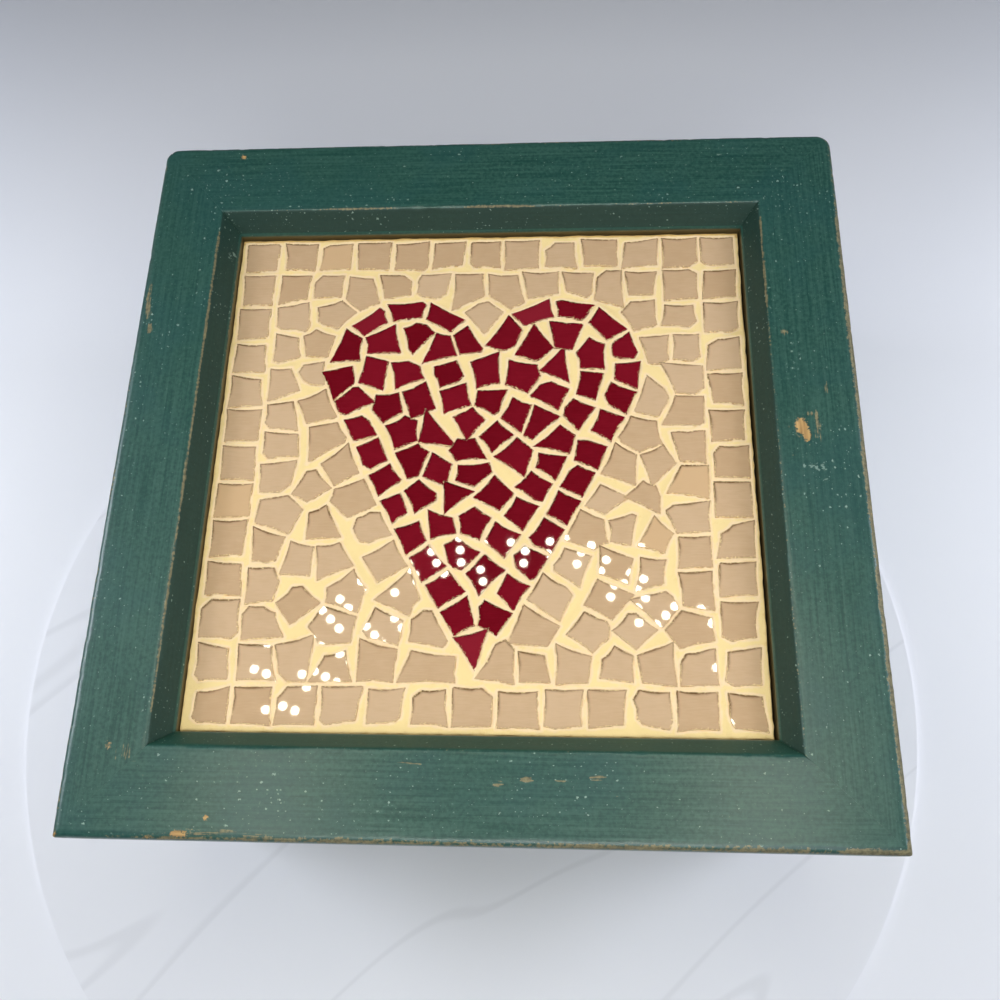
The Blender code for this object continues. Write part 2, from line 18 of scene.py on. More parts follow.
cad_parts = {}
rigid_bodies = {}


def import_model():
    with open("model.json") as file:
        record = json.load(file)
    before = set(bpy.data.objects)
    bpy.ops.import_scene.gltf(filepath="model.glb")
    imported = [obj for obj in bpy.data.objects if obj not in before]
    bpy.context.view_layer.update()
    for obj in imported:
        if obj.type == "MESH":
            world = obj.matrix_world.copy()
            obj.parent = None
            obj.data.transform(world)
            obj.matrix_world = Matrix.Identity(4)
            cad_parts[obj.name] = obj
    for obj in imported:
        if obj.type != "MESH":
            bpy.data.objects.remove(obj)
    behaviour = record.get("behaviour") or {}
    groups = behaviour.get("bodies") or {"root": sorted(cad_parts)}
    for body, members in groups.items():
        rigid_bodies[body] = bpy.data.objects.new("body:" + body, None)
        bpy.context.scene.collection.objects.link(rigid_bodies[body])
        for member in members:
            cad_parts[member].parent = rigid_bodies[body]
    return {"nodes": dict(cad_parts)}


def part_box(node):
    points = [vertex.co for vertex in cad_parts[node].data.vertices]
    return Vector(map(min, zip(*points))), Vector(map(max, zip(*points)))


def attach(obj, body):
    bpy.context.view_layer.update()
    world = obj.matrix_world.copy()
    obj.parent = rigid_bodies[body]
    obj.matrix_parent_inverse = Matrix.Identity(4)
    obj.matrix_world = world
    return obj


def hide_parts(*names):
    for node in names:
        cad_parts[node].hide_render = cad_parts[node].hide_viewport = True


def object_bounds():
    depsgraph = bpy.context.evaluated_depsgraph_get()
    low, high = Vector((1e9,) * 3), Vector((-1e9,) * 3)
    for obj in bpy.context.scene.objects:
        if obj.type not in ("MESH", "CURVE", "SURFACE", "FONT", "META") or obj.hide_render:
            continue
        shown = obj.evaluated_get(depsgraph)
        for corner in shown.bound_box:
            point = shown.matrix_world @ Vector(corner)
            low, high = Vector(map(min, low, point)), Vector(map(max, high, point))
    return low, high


for leftover in list(bpy.data.objects):
    bpy.data.objects.remove(leftover)
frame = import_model()
nodes = frame["nodes"]
cad_low, cad_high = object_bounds()
print("solid model:", len(nodes), "nodes,", [round(1000 * size, 1) for size in cad_high - cad_low], "mm")

# %% [markdown]
# ## Sizes
#
# All lengths are in metres. Whatever a node's box shows is read from it, so that the surfaces follow
# the solids. Only the sizes that no box shows are written here: the slope inside the frame, the
# roundings, and the tongue under the lid.

# %% Read the sizes
MM = 0.001
LID_TOP = cad_high.z
HALF = cad_high.x
SLOPE_WIDTH = 3.7 * MM
SLOPE_DROP = 6.1 * MM
BACK_ROUND = 3.5 * MM
FRONT_ROUND = 0.6 * MM
TOP_EASE = 1.6 * MM
TONGUE_DROP = 4.0 * MM
LEDGE = 4.3 * MM
PANEL_CLEARANCE = 0.3 * MM

LIP = {
    "front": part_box("lid_rail_front")[1].y,
    "right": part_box("lid_rail_right")[0].x,
    "back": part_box("lid_rail_back")[0].y,
    "left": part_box("lid_rail_left")[1].x,
}
FLAT = {side: HALF - abs(lip) - SLOPE_WIDTH for side, lip in LIP.items()}
LID_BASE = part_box("lid_rail_front")[0].z + TONGUE_DROP
RABBET_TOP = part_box("mosaic_panel")[1].z + PANEL_CLEARANCE
TILE_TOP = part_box("field_tiles")[1].z
TILE_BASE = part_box("field_tiles")[0].z
WALL_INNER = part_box("left_board")[1].x
TONGUE_OUTER = HALF + WALL_INNER + 0.8 * MM
print("frame widths, mm:", {side: round(width / MM, 1) for side, width in FLAT.items()})

# %% [markdown]
# ## The camera
#
# The box is seen from almost straight above its front edge, turned a little and very near, so that
# the sides of the frame lean apart. The camera is placed by its own matrix: its columns are the
# picture's right, the picture's up and the way back from the object.

# %% Place the camera


def add_object(name, data):
    """Puts a new object with this data into the scene."""
    added = bpy.data.objects.new(name, data)
    bpy.context.scene.collection.objects.link(added)
    return added


CAMERA_FROM_LID = (18.2 * MM, -90.4 * MM, 209.9 * MM)
AZIMUTH, ELEVATION, ROLL = np.radians((10.1, 69.56, -9.47))
SENSOR = 36.0
FOCAL = 34.873

backwards = np.array((
    math.sin(AZIMUTH) * math.cos(ELEVATION),
    -math.cos(AZIMUTH) * math.cos(ELEVATION),
    math.sin(ELEVATION),
))
level = np.cross(-backwards, (0.0, 0.0, 1.0))
level /= np.linalg.norm(level)
upright = np.cross(level, -backwards)
picture_right = math.cos(ROLL) * level + math.sin(ROLL) * upright
picture_up = math.cos(ROLL) * upright - math.sin(ROLL) * level
eye = np.array((0.0, 0.0, LID_TOP)) + CAMERA_FROM_LID

lens = bpy.data.cameras.new("camera")
lens.sensor_width = SENSOR
lens.lens = FOCAL
lens.clip_start = 10 * MM
camera = add_object("camera", lens)
turned = Matrix(np.column_stack((picture_right, picture_up, backwards)).tolist())
camera.matrix_world = Matrix.Translation(eye) @ turned.to_4x4()
bpy.context.scene.camera = camera
print("camera at", np.round(eye, 3))

# %% [markdown]
# ## Shader maths as Python
#
# A material is a graph of nodes. Two small classes let it be written as formulas. A Wire is one
# output socket, and + - * / on it add Math nodes. A Finish is a material, and its node method adds
# any other node from its type, its settings and what goes into its sockets.

# %% Wires and finishes


def screen(red, green, blue):
    """A colour as it looks on screen, 0 to 255, turned into the linear values that shaders use."""
    share = np.array((red, green, blue)) / 255
    linear = np.where(share <= 0.04045, share / 12.92, ((share + 0.055) / 1.055) ** 2.4)
    return (*linear.tolist(), 1.0)


class Wire:
    """One output socket of a material, on which + - * / add Math nodes."""

    def __init__(self, finish, socket):
        self.finish = finish
        self.socket = socket

    def math(self, operation, *values):
        return self.finish.node("ShaderNodeMath", {"operation": operation}, dict(enumerate(values)))

    def __add__(self, other):
        return self.math("ADD", self, other)

    def __sub__(self, other):
        return self.math("SUBTRACT", self, other)

    def __rsub__(self, other):
        return self.math("SUBTRACT", other, self)

    def __mul__(self, other):
        return self.math("MULTIPLY", self, other)

    __radd__ = __add__
    __rmul__ = __mul__

    def larger(self, other):
        return self.math("MAXIMUM", self, other)

    def beside(self, name):
        """Another output of the same node."""
        return Wire(self.finish, self.socket.node.outputs[name])

    def rise(self, start, end):
        """0 below start, 1 above end, and a smooth step between. With end below start it falls."""
        sockets = {"Value": self, "From Min": min(start, end), "From Max": max(start, end)}
        step = self.finish.node("ShaderNodeMapRange", {"interpolation_type": "SMOOTHSTEP"}, sockets)
        return step if start < end else 1 - step


class Finish:
    """A material with one Principled shader, built up node by node."""

    def __init__(self, name, preview):
        self.material = bpy.data.materials.new(name)
        self.material.use_nodes = True
        self.material.diffuse_color = preview
        self.tree = self.material.node_tree
        self.shader = self.tree.nodes["Principled BSDF"]

    def node(self, kind, settings=None, sockets=None, output=0):
        """Adds a node. Settings come first, then a value or a Wire for each socket."""
        added = self.tree.nodes.new(kind)
        for name, value in (settings or {}).items():
            setattr(added, name, value)
        self.feed(added, sockets or {})
        return Wire(self, added.outputs[output])

    def feed(self, node, sockets):
        for name, value in sockets.items():
            if isinstance(value, Wire):
                self.tree.links.new(value.socket, node.inputs[name])
            else:
                node.inputs[name].default_value = value

    def place(self):
        """Where a point is on the box, in metres."""
        return self.node("ShaderNodeTexCoord", output=3)

    def run(self):
        """The piece's own UV map: metres along it and across it."""
        return self.node("ShaderNodeUVMap", {"uv_map": "run"})

    def value(self, name):
        """A number that the mesh carries at each point."""
        return self.node("ShaderNodeAttribute", {"attribute_name": name}, output=2)

    def stretch(self, vector, factors):
        return self.node("ShaderNodeVectorMath", {"operation": "MULTIPLY"}, {0: vector, 1: factors})

    def noise(self, vector, size, detail=2.0, roughness=0.5):
        """Smooth random numbers round 0.5, in clouds about this many metres across."""
        sockets = {"Vector": vector, "Scale": 1 / size, "Detail": detail, "Roughness": roughness}
        return self.node("ShaderNodeTexNoise", None, sockets)

    def mix(self, share, first, second):
        """The first colour where share is 0, the second where it is 1."""
        sockets = {0: share, 6: first, 7: second}
        return self.node("ShaderNodeMix", {"data_type": "RGBA"}, sockets, output=2)

    def bump(self, height, depth, strength=1.0):
        """Turns a height from 0 to 1 into tilted normals, as if the relief were this deep."""
        return self.node("ShaderNodeBump", None, {"Height": height, "Distance": depth, "Strength": strength})

    def set(self, **sockets):
        """Feeds the Principled shader. Underscores stand for the spaces in its sockets' names."""
        self.feed(self.shader, {name.replace("_", " "): value for name, value in sockets.items()})
        return self.material


# %% [markdown]
# ## Surfaces from grids
#
# Every new piece starts as an array of points with two parameters. tube_mesh turns such an array
# into a mesh: it joins neighbouring points by quads, closes the ends, turns the faces outwards and
# stores the UV map and the point values that the finishes read.

# %% Noise and grid helpers
LATTICE = 251


def soft_noise(x, y, size, seed):
    """Smooth numbers from -1 to 1: random values on a lattice, blended by 3t^2 - 2t^3 in each cell."""
    table = np.random.default_rng(seed).uniform(-1.0, 1.0, (LATTICE, LATTICE))
    u, v = np.broadcast_arrays(np.asarray(x) / size, np.asarray(y) / size)
    column, row = np.floor(u).astype(int), np.floor(v).astype(int)
    across, down = u - column, v - row
    across, down = across**2 * (3 - 2 * across), down**2 * (3 - 2 * down)
    blended = []
    for j in (0, 1):
        left, right = (table[(column + i) % LATTICE, (row + j) % LATTICE] for i in (0, 1))
        blended.append(left + (right - left) * across)
    return blended[0] + (blended[1] - blended[0]) * down


def quads(stations, count, around):
    """Corner numbers of the quads between neighbouring points of a grid, as rows of (station, point)."""
    station, point = np.indices((stations - 1, count - 1 + around))
    corners = [(station, point), (station + 1, point), (station + 1, point + 1), (station, point + 1)]
    return np.stack([np.stack(pair, -1) for pair in corners], 2).reshape(-1, 4, 2)


def signed_volume(points, faces):
    """Six times the volume inside the faces, seen from their middle: below 0 where they face inwards."""
    corners = points[faces] - points.mean(axis=0)
    normals = np.cross(corners[:, 2] - corners[:, 0], corners[:, 3] - corners[:, 1])
    return float((corners[:, 0] * normals).sum())


def add_piece(name, mesh, finish, slot, *replaced):
    """Puts a finished mesh into the scene as a piece of the box that stands for these nodes."""
    piece = add_object(name, mesh)
    mesh.materials.append(finish)
    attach(piece, "root")
    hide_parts(*replaced)


def read(items, name, width, kind):
    """A mesh's own numbers as an array: so many in a row for each vertex, edge or triangle."""
    numbers = np.empty(len(items) * width, kind)
    items.foreach_get(name, numbers)
    return numbers.reshape(-1, width)


def carry(mesh, values):
    """Stores a number at each point of a mesh, under each of these names."""
    for label, numbers in values.items():
        mesh.attributes.new(label, "FLOAT", "POINT").data.foreach_set("value", numbers)


def unit(vectors):
    """Each row divided by its length."""
    return vectors / np.hypot(*vectors.T)[:, None]


def travelled_round(outline):
    """How far each point of a closed outline is from its first one, and the whole way round it."""
    steps = np.hypot(*np.diff(np.vstack((outline, outline[:1])), axis=0).T)
    return np.concatenate(([0.0], np.cumsum(steps)))


def tube_mesh(name, grid, run, values):
    """A closed mesh from a grid of points: rings carried along a path, with a flat face on each end.

    grid is stations by points by 3, and each ring closes on itself. run is the UV map, with one more
    column than grid for the seam. values are the numbers that the mesh carries at each point.
    """
    stations, count = grid.shape[:2]
    points = grid.reshape(-1, 3)
    cells = quads(stations, count, True)
    faces = cells[:, :, 0] * count + cells[:, :, 1] % count
    ring = np.arange(count)
    if signed_volume(points, faces) < 0:
        cells, faces, ring = cells[:, ::-1], faces[:, ::-1], ring[::-1]
    last = (stations - 1) * count
    caps = [ring.tolist(), (last + ring[::-1]).tolist()]
    mesh = bpy.data.meshes.new(name)
    mesh.from_pydata(points.tolist(), [], faces.tolist() + caps)
    sides = run[cells[:, :, 0], cells[:, :, 1]].reshape(-1, 2)
    ends = points[np.concatenate(caps)]
    ends = np.column_stack((ends[:, 2], ends[:, 0] + ends[:, 1]))
    mesh.uv_layers.new(name="run").data.foreach_set("uv", np.vstack((sides, ends)).ravel())
    shape = (stations, count)
    carry(mesh, {label: np.broadcast_to(numbers, shape).ravel() for label, numbers in values.items()})
    mesh.shade_smooth()
    edges = read(mesh.edges, "vertices", 2, int)
    rims = (edges < count).all(axis=1) | (edges >= last).all(axis=1)
    mesh.attributes.new("sharp_edge", "BOOLEAN", "EDGE").data.foreach_set("value", rims)
    return mesh


# %% [markdown]
# ## Green paint over wood
#
# The frame and the body are wood under brushed dark green paint. Brushing leaves fine ridges along
# each board, which break the sheen into streaks. Handling has worn the paint off the arrises down to
# an olive undercoat and then to wood, and has left chips, scratches, scuffs and many pale flecks.
#
# The mesh says where: it carries a value for each kind of damage, high where there is some. Noise is
# added to each value before it is cut off at a threshold, so that the borders come out ragged.

# %% Paint


def flecks(paint, run, grit, clouds, cell):
    """Pale dots: some cells of a cell pattern hold one, of a size of its own, and more do in clouds."""
    sockets = {"Vector": paint.stretch(run, (1.0, 1.3, 1.0)), "Scale": 1 / cell, "Randomness": 1.0}
    distance = paint.node("ShaderNodeTexVoronoi", {"voronoi_dimensions": "2D"}, sockets)
    size = (distance.beside("Color") + (clouds - 0.5) * 0.6).rise(0.62, 1.1)
    return (size * 0.20 + (grit - 0.5) * 0.60 - 0.03 - distance).rise(0.0, 0.06)


def green_paint():
    """Green in streaks, pale flecks on it, the undercoat where worn, wood where worn more, and painted shade
    on slopes and lip.
    """
    paint = Finish("green_paint", screen(40, 82, 73))
    run, place = paint.run(), paint.place()
    strokes = paint.noise(paint.stretch(run, (38.0, 1500.0, 1.0)), 1.0, 3.0, 0.6)
    grain = paint.noise(paint.stretch(run, (150.0, 2000.0, 1.0)), 1.0, 2.0, 0.6)
    clouds = paint.noise(place, 15 * MM, 2.0)
    crumbs = paint.noise(place, 0.9 * MM, 3.0, 0.65)
    grit = paint.noise(place, 0.4 * MM, 2.0, 0.6)

    tone = strokes * 0.5 + crumbs * 0.5
    colour = paint.mix(tone.rise(0.34, 0.66), screen(25, 69, 61), screen(56, 97, 86))
    colour = paint.mix(clouds.rise(0.4, 0.7) * 0.4, colour, screen(34, 80, 79))
    # Painted shade on the frame's slopes: where this value is high, the green is mixed towards darker greens.
    slope_shade = paint.value("slope_shade")
    deep = paint.mix(slope_shade.rise(0.88, 0.94), screen(0, 70, 55), screen(0, 44, 32))
    colour = paint.mix(slope_shade * 0.75, colour, deep)

    worn = paint.value("wear") + (crumbs - 0.5) * 0.9 + (grain - 0.5) * 0.4
    chip = paint.value("chip") + (crumbs - 0.5) + (grit - 0.5) * 0.8
    scratch = paint.value("scratch") + (grain - 0.5) * 1.7 + (crumbs - 0.5) * 0.6
    scuff = paint.value("scuff") + (crumbs - 0.5) * 1.7
    undercoat = worn.rise(0.40, 0.50).larger(chip.rise(0.34, 0.42)).larger(scratch.rise(0.52, 0.62))
    bare = worn.rise(0.90, 1.05).larger(chip.rise(0.46, 0.54))
    pale = flecks(paint, run, grit, clouds, 2.3 * MM)
    pale = pale.larger(flecks(paint, run, grit, clouds, 1.1 * MM)).larger(scuff.rise(0.52, 0.66) * 0.7)

    mottle = (crumbs * 0.6 + grain * 0.4).rise(0.35, 0.65)
    under = paint.mix(mottle, screen(86, 80, 54), screen(142, 132, 96))
    wood = paint.mix(grain.rise(0.3, 0.7), screen(160, 122, 70), screen(200, 162, 100))
    raw = paint.mix(grain.rise(0.3, 0.75), screen(150, 112, 72), screen(196, 156, 108))
    colour = paint.mix(pale * 0.65, colour, screen(164, 192, 178))
    colour = paint.mix(undercoat * 0.9, colour, under)
    colour = paint.mix(bare, colour, wood)
    colour = paint.mix(paint.value("raw"), colour, raw)
    # Painted shade in the slit: the lower part of the lip's face is mixed towards a dull brown.
    colour = paint.mix(paint.value("slit_shade"), colour, screen(92, 80, 50))
    dull = undercoat.larger(pale).larger(paint.value("raw")).larger(slope_shade)
    return paint.set(
        Base_Color=colour,
        Roughness=0.27 + strokes * 0.14 + dull * 0.3,
        Specular_IOR_Level=0.7,
        Normal=paint.bump(strokes, 0.03 * MM),
    )


PAINT = green_paint()
print("paint:", len(PAINT.node_tree.nodes), "nodes")

# %% [markdown]
# ## The frame's section
#
# Each rail of the frame has one section: a flat top, a slope down to the mosaic, a straight lip, a
# rabbet that holds the panel, and a tongue that drops inside the box. The section is an outline of
# nine corners, each rounded by a small curve. Points lie closer together where light and wear show.

# %% Section of a rail
SECTION_ROUNDS = np.array((TOP_EASE / MM, 0.45, 0.4, 0.3, 0.3, 0.5, 0.5, 0.3, 0.8)) * MM
ARC_POINTS = (8, 7, 4, 3, 3, 3, 3, 3, 5)
SIDE_POINTS = (34, 12, 5, 3, 4, 3, 3, 8, 20)
SLOPE, LIP_FACE, UNPAINTED = 1, 2, (4, 5, 6)
print("section:", sum(ARC_POINTS + SIDE_POINTS), "points")


def rounded_section(corners, rounds, arcs, sides):
    """An outline with rounded corners: a quadratic curve at each corner, then evenly spaced points.

    Returns the points, the number of the corner that each belongs to or comes after, and the middle
    of each curve.
    """
    towards = np.roll(corners, 1, axis=0) - corners
    onward = np.roll(corners, -1, axis=0) - corners
    starts = corners + unit(towards) * rounds[:, None]
    ends = corners + unit(onward) * rounds[:, None]
    points, owners = [], []
    for i, corner in enumerate(corners):
        t = np.linspace(0.0, 1.0, arcs[i])[:, None]
        points.append((1 - t) ** 2 * starts[i] + 2 * t * (1 - t) * corner + t**2 * ends[i])
        t = np.linspace(0.0, 1.0, sides[i] + 2)[1:-1, None]
        points.append(ends[i] + (starts[(i + 1) % len(corners)] - ends[i]) * t)
        owners += [i] * (arcs[i] + sides[i])
    return np.vstack(points), np.array(owners), (starts + 2 * corners + ends) / 4


def rail_corners(flat):
    """The section's corners as (distance in from the outer edge, height above the lid's top)."""
    lip = flat + SLOPE_WIDTH
    base, rabbet = LID_BASE - LID_TOP, RABBET_TOP - LID_TOP
    return np.array((
        (0.0, 0.0), (flat, 0.0), (lip, -SLOPE_DROP), (lip, rabbet), (lip - LEDGE, rabbet),
        (lip - LEDGE, base - TONGUE_DROP), (TONGUE_OUTER, base - TONGUE_DROP),
        (TONGUE_OUTER, base), (0.0, base),
    ))


# %% [markdown]
# ## Wear on the frame
#
# The wear is not even. The right outer edge has lost its paint along nearly its whole length, and the
# left inner arris is a pale line. A worn stretch of an arris is where it starts and ends along the
# side, and how strong it is. A mark is its place on the lid, its half width and half height, and its
# strength: a chip shows wood, a scratch shows the undercoat, and a scuff is pale. These lengths are in
# millimetres. The slopes are painted darker as painted shade in the recess, least the front one,
# which stays greener.

# %% Worn stretches and marks
OUTER, INNER, LIP_EDGE, UNDER = 0, 1, 2, 8
ARRIS_REACH = {OUTER: 1.25 * MM, INNER: 0.45 * MM, LIP_EDGE: 0.4 * MM, UNDER: 0.7 * MM}
# How strong the painted shade on each slope is.
SLOPE_SHADE = {"front": 0.85, "right": 0.95, "back": 1.0, "left": 0.95}
WORN = {
    ("right", OUTER): ((-89, 62, 0.78), (62, 89, 0.5)),
    ("right", INNER): ((38, 62, 0.6), (-70, 38, 0.36)),
    ("left", INNER): ((-62, 60, 0.66),),
    ("left", OUTER): ((-89, 20, 0.44), (20, 89, 0.34)),
    ("left", LIP_EDGE): ((10, 60, 0.52),),
    ("back", INNER): ((-42, -26, 0.66), (-5, 10, 0.66), (-70, 70, 0.36)),
    ("back", OUTER): ((-40, 60, 0.42),),
    ("front", OUTER): ((-76, -50, 0.48), (-50, 89, 0.56), (76, 89, 0.66)),
    ("front", INNER): ((-66, 66, 0.3),),
}
UNWORN = 0.18
WEAR_FADE = 4.0
MARKS = {
    "chip": (
        (74.6, 5.0, 1.5, 2.3, 1.0), (75.7, 2.8, 1.1, 1.8, 0.9), (-61.4, -87.8, 2.4, 0.9, 0.8),
        (-55.9, -84.4, 0.8, 0.8, 0.7), (-68.1, -88.6, 1.2, 0.6, 0.8), (-88.4, -88.4, 0.9, 1.2, 0.8),
        (-67.1, 85.6, 0.9, 0.7, 0.8), (9.1, 61.6, 2.0, 1.0, 0.8), (-79.4, -69.9, 0.7, 1.4, 0.55),
    ),
    "scratch": (
        (72.2, -2.2, 0.8, 0.8, 0.65), (78.3, 5.4, 0.9, 4.2, 0.8), (77.0, 8.2, 1.6, 0.7, 0.66),
        (81.1, 14.9, 0.6, 2.6, 0.8), (71.6, 4.7, 1.4, 0.9, 0.64), (73.4, 30.0, 2.4, 1.0, 0.6),
        (5.4, -76.5, 1.8, 1.1, 0.72), (11.4, -75.4, 1.5, 0.9, 0.74), (18.2, -75.6, 2.2, 0.8, 0.58),
        (26.4, -75.0, 2.0, 0.9, 0.7), (30.2, -77.8, 0.7, 1.6, 0.62), (-86.8, 40.5, 0.9, 6.5, 0.8),
        (-85.4, 32.8, 1.2, 2.0, 0.8), (-14.0, -72.5, 4.0, 0.8, 0.6), (-75.2, -71.0, 3.0, 4.0, 0.52),
        (-52.0, -87.4, 12.0, 0.9, 0.6),
    ),
    "scuff": (
        (77.2, -5.2, 5.2, 2.2, 0.5), (79.6, -8.2, 2.0, 1.6, 0.45), (-68.2, 57.5, 1.6, 2.6, 0.55),
        (74.0, 22.0, 3.0, 12.0, 0.36), (70.0, 40.0, 2.0, 10.0, 0.38), (60.0, 83.0, 2.4, 0.8, 0.55),
        (-20.0, -82.0, 40.0, 2.0, 0.32), (-66.0, 40.0, 1.5, 20.0, 0.36), (66.4, 66.0, 0.8, 3.0, 0.5),
    ),
}
print("marks:", {kind: len(rows) for kind, rows in MARKS.items()})


def wear_along(side, arris, run):
    """How worn an arris is along a side: the strongest of its stretches, each faded in from its ends."""
    strength = np.full(run.shape, UNWORN)
    for start, end, amount in WORN.get((side, arris), ()):
        inside = np.minimum(run / MM - start, end - run / MM)
        strength = np.maximum(strength, amount * np.clip(inside / WEAR_FADE + 1.0, 0.0, 1.0))
    return strength


def marks_at(kind, x, y):
    """How deep in a mark of this kind a point is: the highest of the bell curves that stand for them."""
    depth = np.zeros(x.shape)
    for across, along, width, height, amount in MARKS[kind]:
        away = ((x / MM - across) / width) ** 2 + ((y / MM - along) / height) ** 2
        depth = np.maximum(depth, amount * np.exp(-away))
    return depth


# %% [markdown]
# ## The four rails
#
# A rail is its section carried along one side of the lid. A point's distance in from the outer edge
# also says where the mitre cuts it off, so the section shears by itself into the mitre at each end.
# The lid's corners are rounded by moving points along rays from the corner's centre, which turns
# nested squares into nested arcs. Small dents are pressed into the arrises, always inwards.

# %% Build the rails
OUTWARD = {"front": (0, -1), "right": (1, 0), "back": (0, 1), "left": (-1, 0)}
SIDES = tuple(OUTWARD)
RAIL_STATIONS = 300
END_CROWDING = 0.6
MITRE_GAP = 0.01 * MM
PRESSED_SHARE = 0.7
SANDED = 0.25 * MM
VEE = 0.12 * MM
WAVES = 0.03 * MM
CHIP_DEPTH = 0.15 * MM


def mitre_at(inset, flat, neighbour):
    """How far the mitre cuts back a line this far in: along the mitre's slant, then at 45 degrees."""
    return np.where(inset <= flat, inset * neighbour / flat, neighbour + inset - flat)


def round_corners(x, y):
    """Moves points near the lid's upright corners so that nested squares become nested arcs."""
    core = HALF - np.where(y > 0, BACK_ROUND, FRONT_ROUND)
    across, along = np.abs(x) - core, np.abs(y) - core
    near = (across > 0) & (along > 0)
    square = np.maximum(across, along)
    share = np.where(near, square / np.maximum(np.hypot(across, along), 1e-9), 1.0)
    rounded_x = np.sign(x) * (core + across * share)
    rounded_y = np.sign(y) * (core + along * share)
    return np.where(near, rounded_x, x), np.where(near, rounded_y, y)


def dents(run, seed):
    """How far an arris is pressed in along its length: a faint waver and a few sharper nicks."""
    waver = 0.05 + 0.05 * soft_noise(run, 0.0, 9 * MM, seed)
    nicks = np.clip(soft_noise(run, 0.0, 2.2 * MM, seed + 1) - 0.55, 0.0, 1.0) * 0.3
    fine = np.clip(soft_noise(run, 0.0, 0.9 * MM, seed + 2), 0.0, 1.0) * 0.05
    return (waver + nicks + fine) * MM


def rail_mesh(side, seed):
    """A rail's section carried from mitre to mitre, with its arrises dented and its corners rounded."""
    flat = FLAT[side]
    section, owners, arrises = rounded_section(rail_corners(flat), SECTION_ROUNDS, ARC_POINTS, SIDE_POINTS)
    inset, height = section.T
    share = np.linspace(0.0, 1.0, RAIL_STATIONS)
    share = (1 - END_CROWDING) * share + END_CROWDING * (0.5 - 0.5 * np.cos(math.pi * share))
    before, after = SIDES[SIDES.index(side) - 1], SIDES[(SIDES.index(side) + 1) % 4]
    start = -HALF + mitre_at(inset, flat, FLAT[before]) + MITRE_GAP
    end = HALF - mitre_at(inset, flat, FLAT[after]) - MITRE_GAP
    run = start + (end - start) * share[:, None]

    away = {which: np.hypot(*(section - arrises[which]).T) / reach for which, reach in ARRIS_REACH.items()}
    near = {which: np.exp(-(distance**2)) for which, distance in away.items()}
    pressed = {which: dents(run, seed + 10 * which) * near[which] for which in near}
    to_end = np.minimum(run - start, end - run)
    sanded = SANDED * np.exp(-to_end / (4 * MM)) * np.exp(-inset / (2 * MM))
    vee = VEE * (inset > flat) * np.exp(-to_end / (0.25 * MM))
    upper = height > LID_BASE - LID_TOP + 1 * MM
    inset = inset + PRESSED_SHARE * (pressed[OUTER] - pressed[INNER] + pressed[UNDER])
    waves = WAVES * (1 + soft_noise(run, inset, 13 * MM, seed))
    height = height - PRESSED_SHARE * (pressed[OUTER] + pressed[INNER] - pressed[UNDER])
    height = height - (sanded + vee + waves) * upper

    out = OUTWARD[side]
    x = out[0] * (HALF - inset) - out[1] * run
    y = out[1] * (HALF - inset) + out[0] * run
    x, y = round_corners(x, y)
    shown = np.where(inset < TOP_EASE, np.clip(1 + height / (3 * MM), 0.0, 1.0), upper)
    marks = {kind: marks_at(kind, x, y) * shown for kind in MARKS}
    height = height - CHIP_DEPTH * np.clip(2 * marks["chip"] - 0.7, 0.0, 1.0)
    grid = np.stack((x, y, LID_TOP + height), axis=-1)

    seam_run = np.concatenate((run, run[:, :1]), axis=1)
    flow = np.stack(np.broadcast_arrays(seam_run + seed, travelled_round(section) + seed), axis=-1)
    travelled = x if side in ("front", "back") else y
    wear = sum(near[which] * wear_along(side, which, travelled) for which in near)
    wear = wear * (0.95 + 0.2 * soft_noise(run, 0.0, 9 * MM, seed + 5))
    values = {"wear": wear, "raw": np.isin(owners, UNPAINTED) * 1.0, **marks}
    # Painted shade on the slopes, the recess inside the frame.
    values["slope_shade"] = (owners == SLOPE) * (inset > flat) * SLOPE_SHADE[side]
    # Painted shade on the lower part of the lip's face, down into the slit beside the grout.
    values["slit_shade"] = (owners == LIP_FACE) * np.clip((-SLOPE_DROP - height) / (0.5 * MM), 0.0, 1.0)
    return tube_mesh(side + "_rail", grid, flow, values)


for number, side in enumerate(SIDES):
    mesh = rail_mesh(side, 3 + number)
    add_piece(side + "_rail", mesh, PAINT, "green_paint", "lid_rail_" + side)
    print(mesh.name, len(mesh.polygons), "faces")

# %% [markdown]
# ## The boards of the body
#
# The body is five plain boards. Each is a rectangle with rounded corners, carried along the board's
# length and drawn in at its ends by the same rounding. A point of the rectangle is a point of a
# smaller core plus the rounding along its normal, so drawing in only shortens the second part. The
# faces towards the inside are bare wood, and the ends are painted.

# %% Build the boards
BOARD_ROUND = 0.6 * MM
DRAWN_IN = 0.85
BOARD_STATIONS = 110
ROUND_POINTS = 5
BOARD_SIDE_POINTS = 22
CAP = 0.01 * MM


def round_rectangle(width, height):
    """The core points and the outward normals of a rounded rectangle about (0, 0), anticlockwise."""
    half = np.array((width, height)) / 2 - BOARD_ROUND
    cores, normals = [], []
    signs = ((1, 1), (-1, 1), (-1, -1), (1, -1))
    for turn, sign in enumerate(signs):
        angle = (turn + np.linspace(0.0, 1.0, ROUND_POINTS)) * math.pi / 2
        cores.append(np.tile(half * sign, (ROUND_POINTS, 1)))
        normals.append(np.column_stack((np.cos(angle), np.sin(angle))))
        onward = half * signs[(turn + 1) % 4]
        t = np.linspace(0.0, 1.0, BOARD_SIDE_POINTS + 2)[1:-1, None]
        cores.append(half * sign + (onward - half * sign) * t)
        normals.append(np.tile(normals[-1][-1], (BOARD_SIDE_POINTS, 1)))
    return np.vstack(cores), np.vstack(normals)


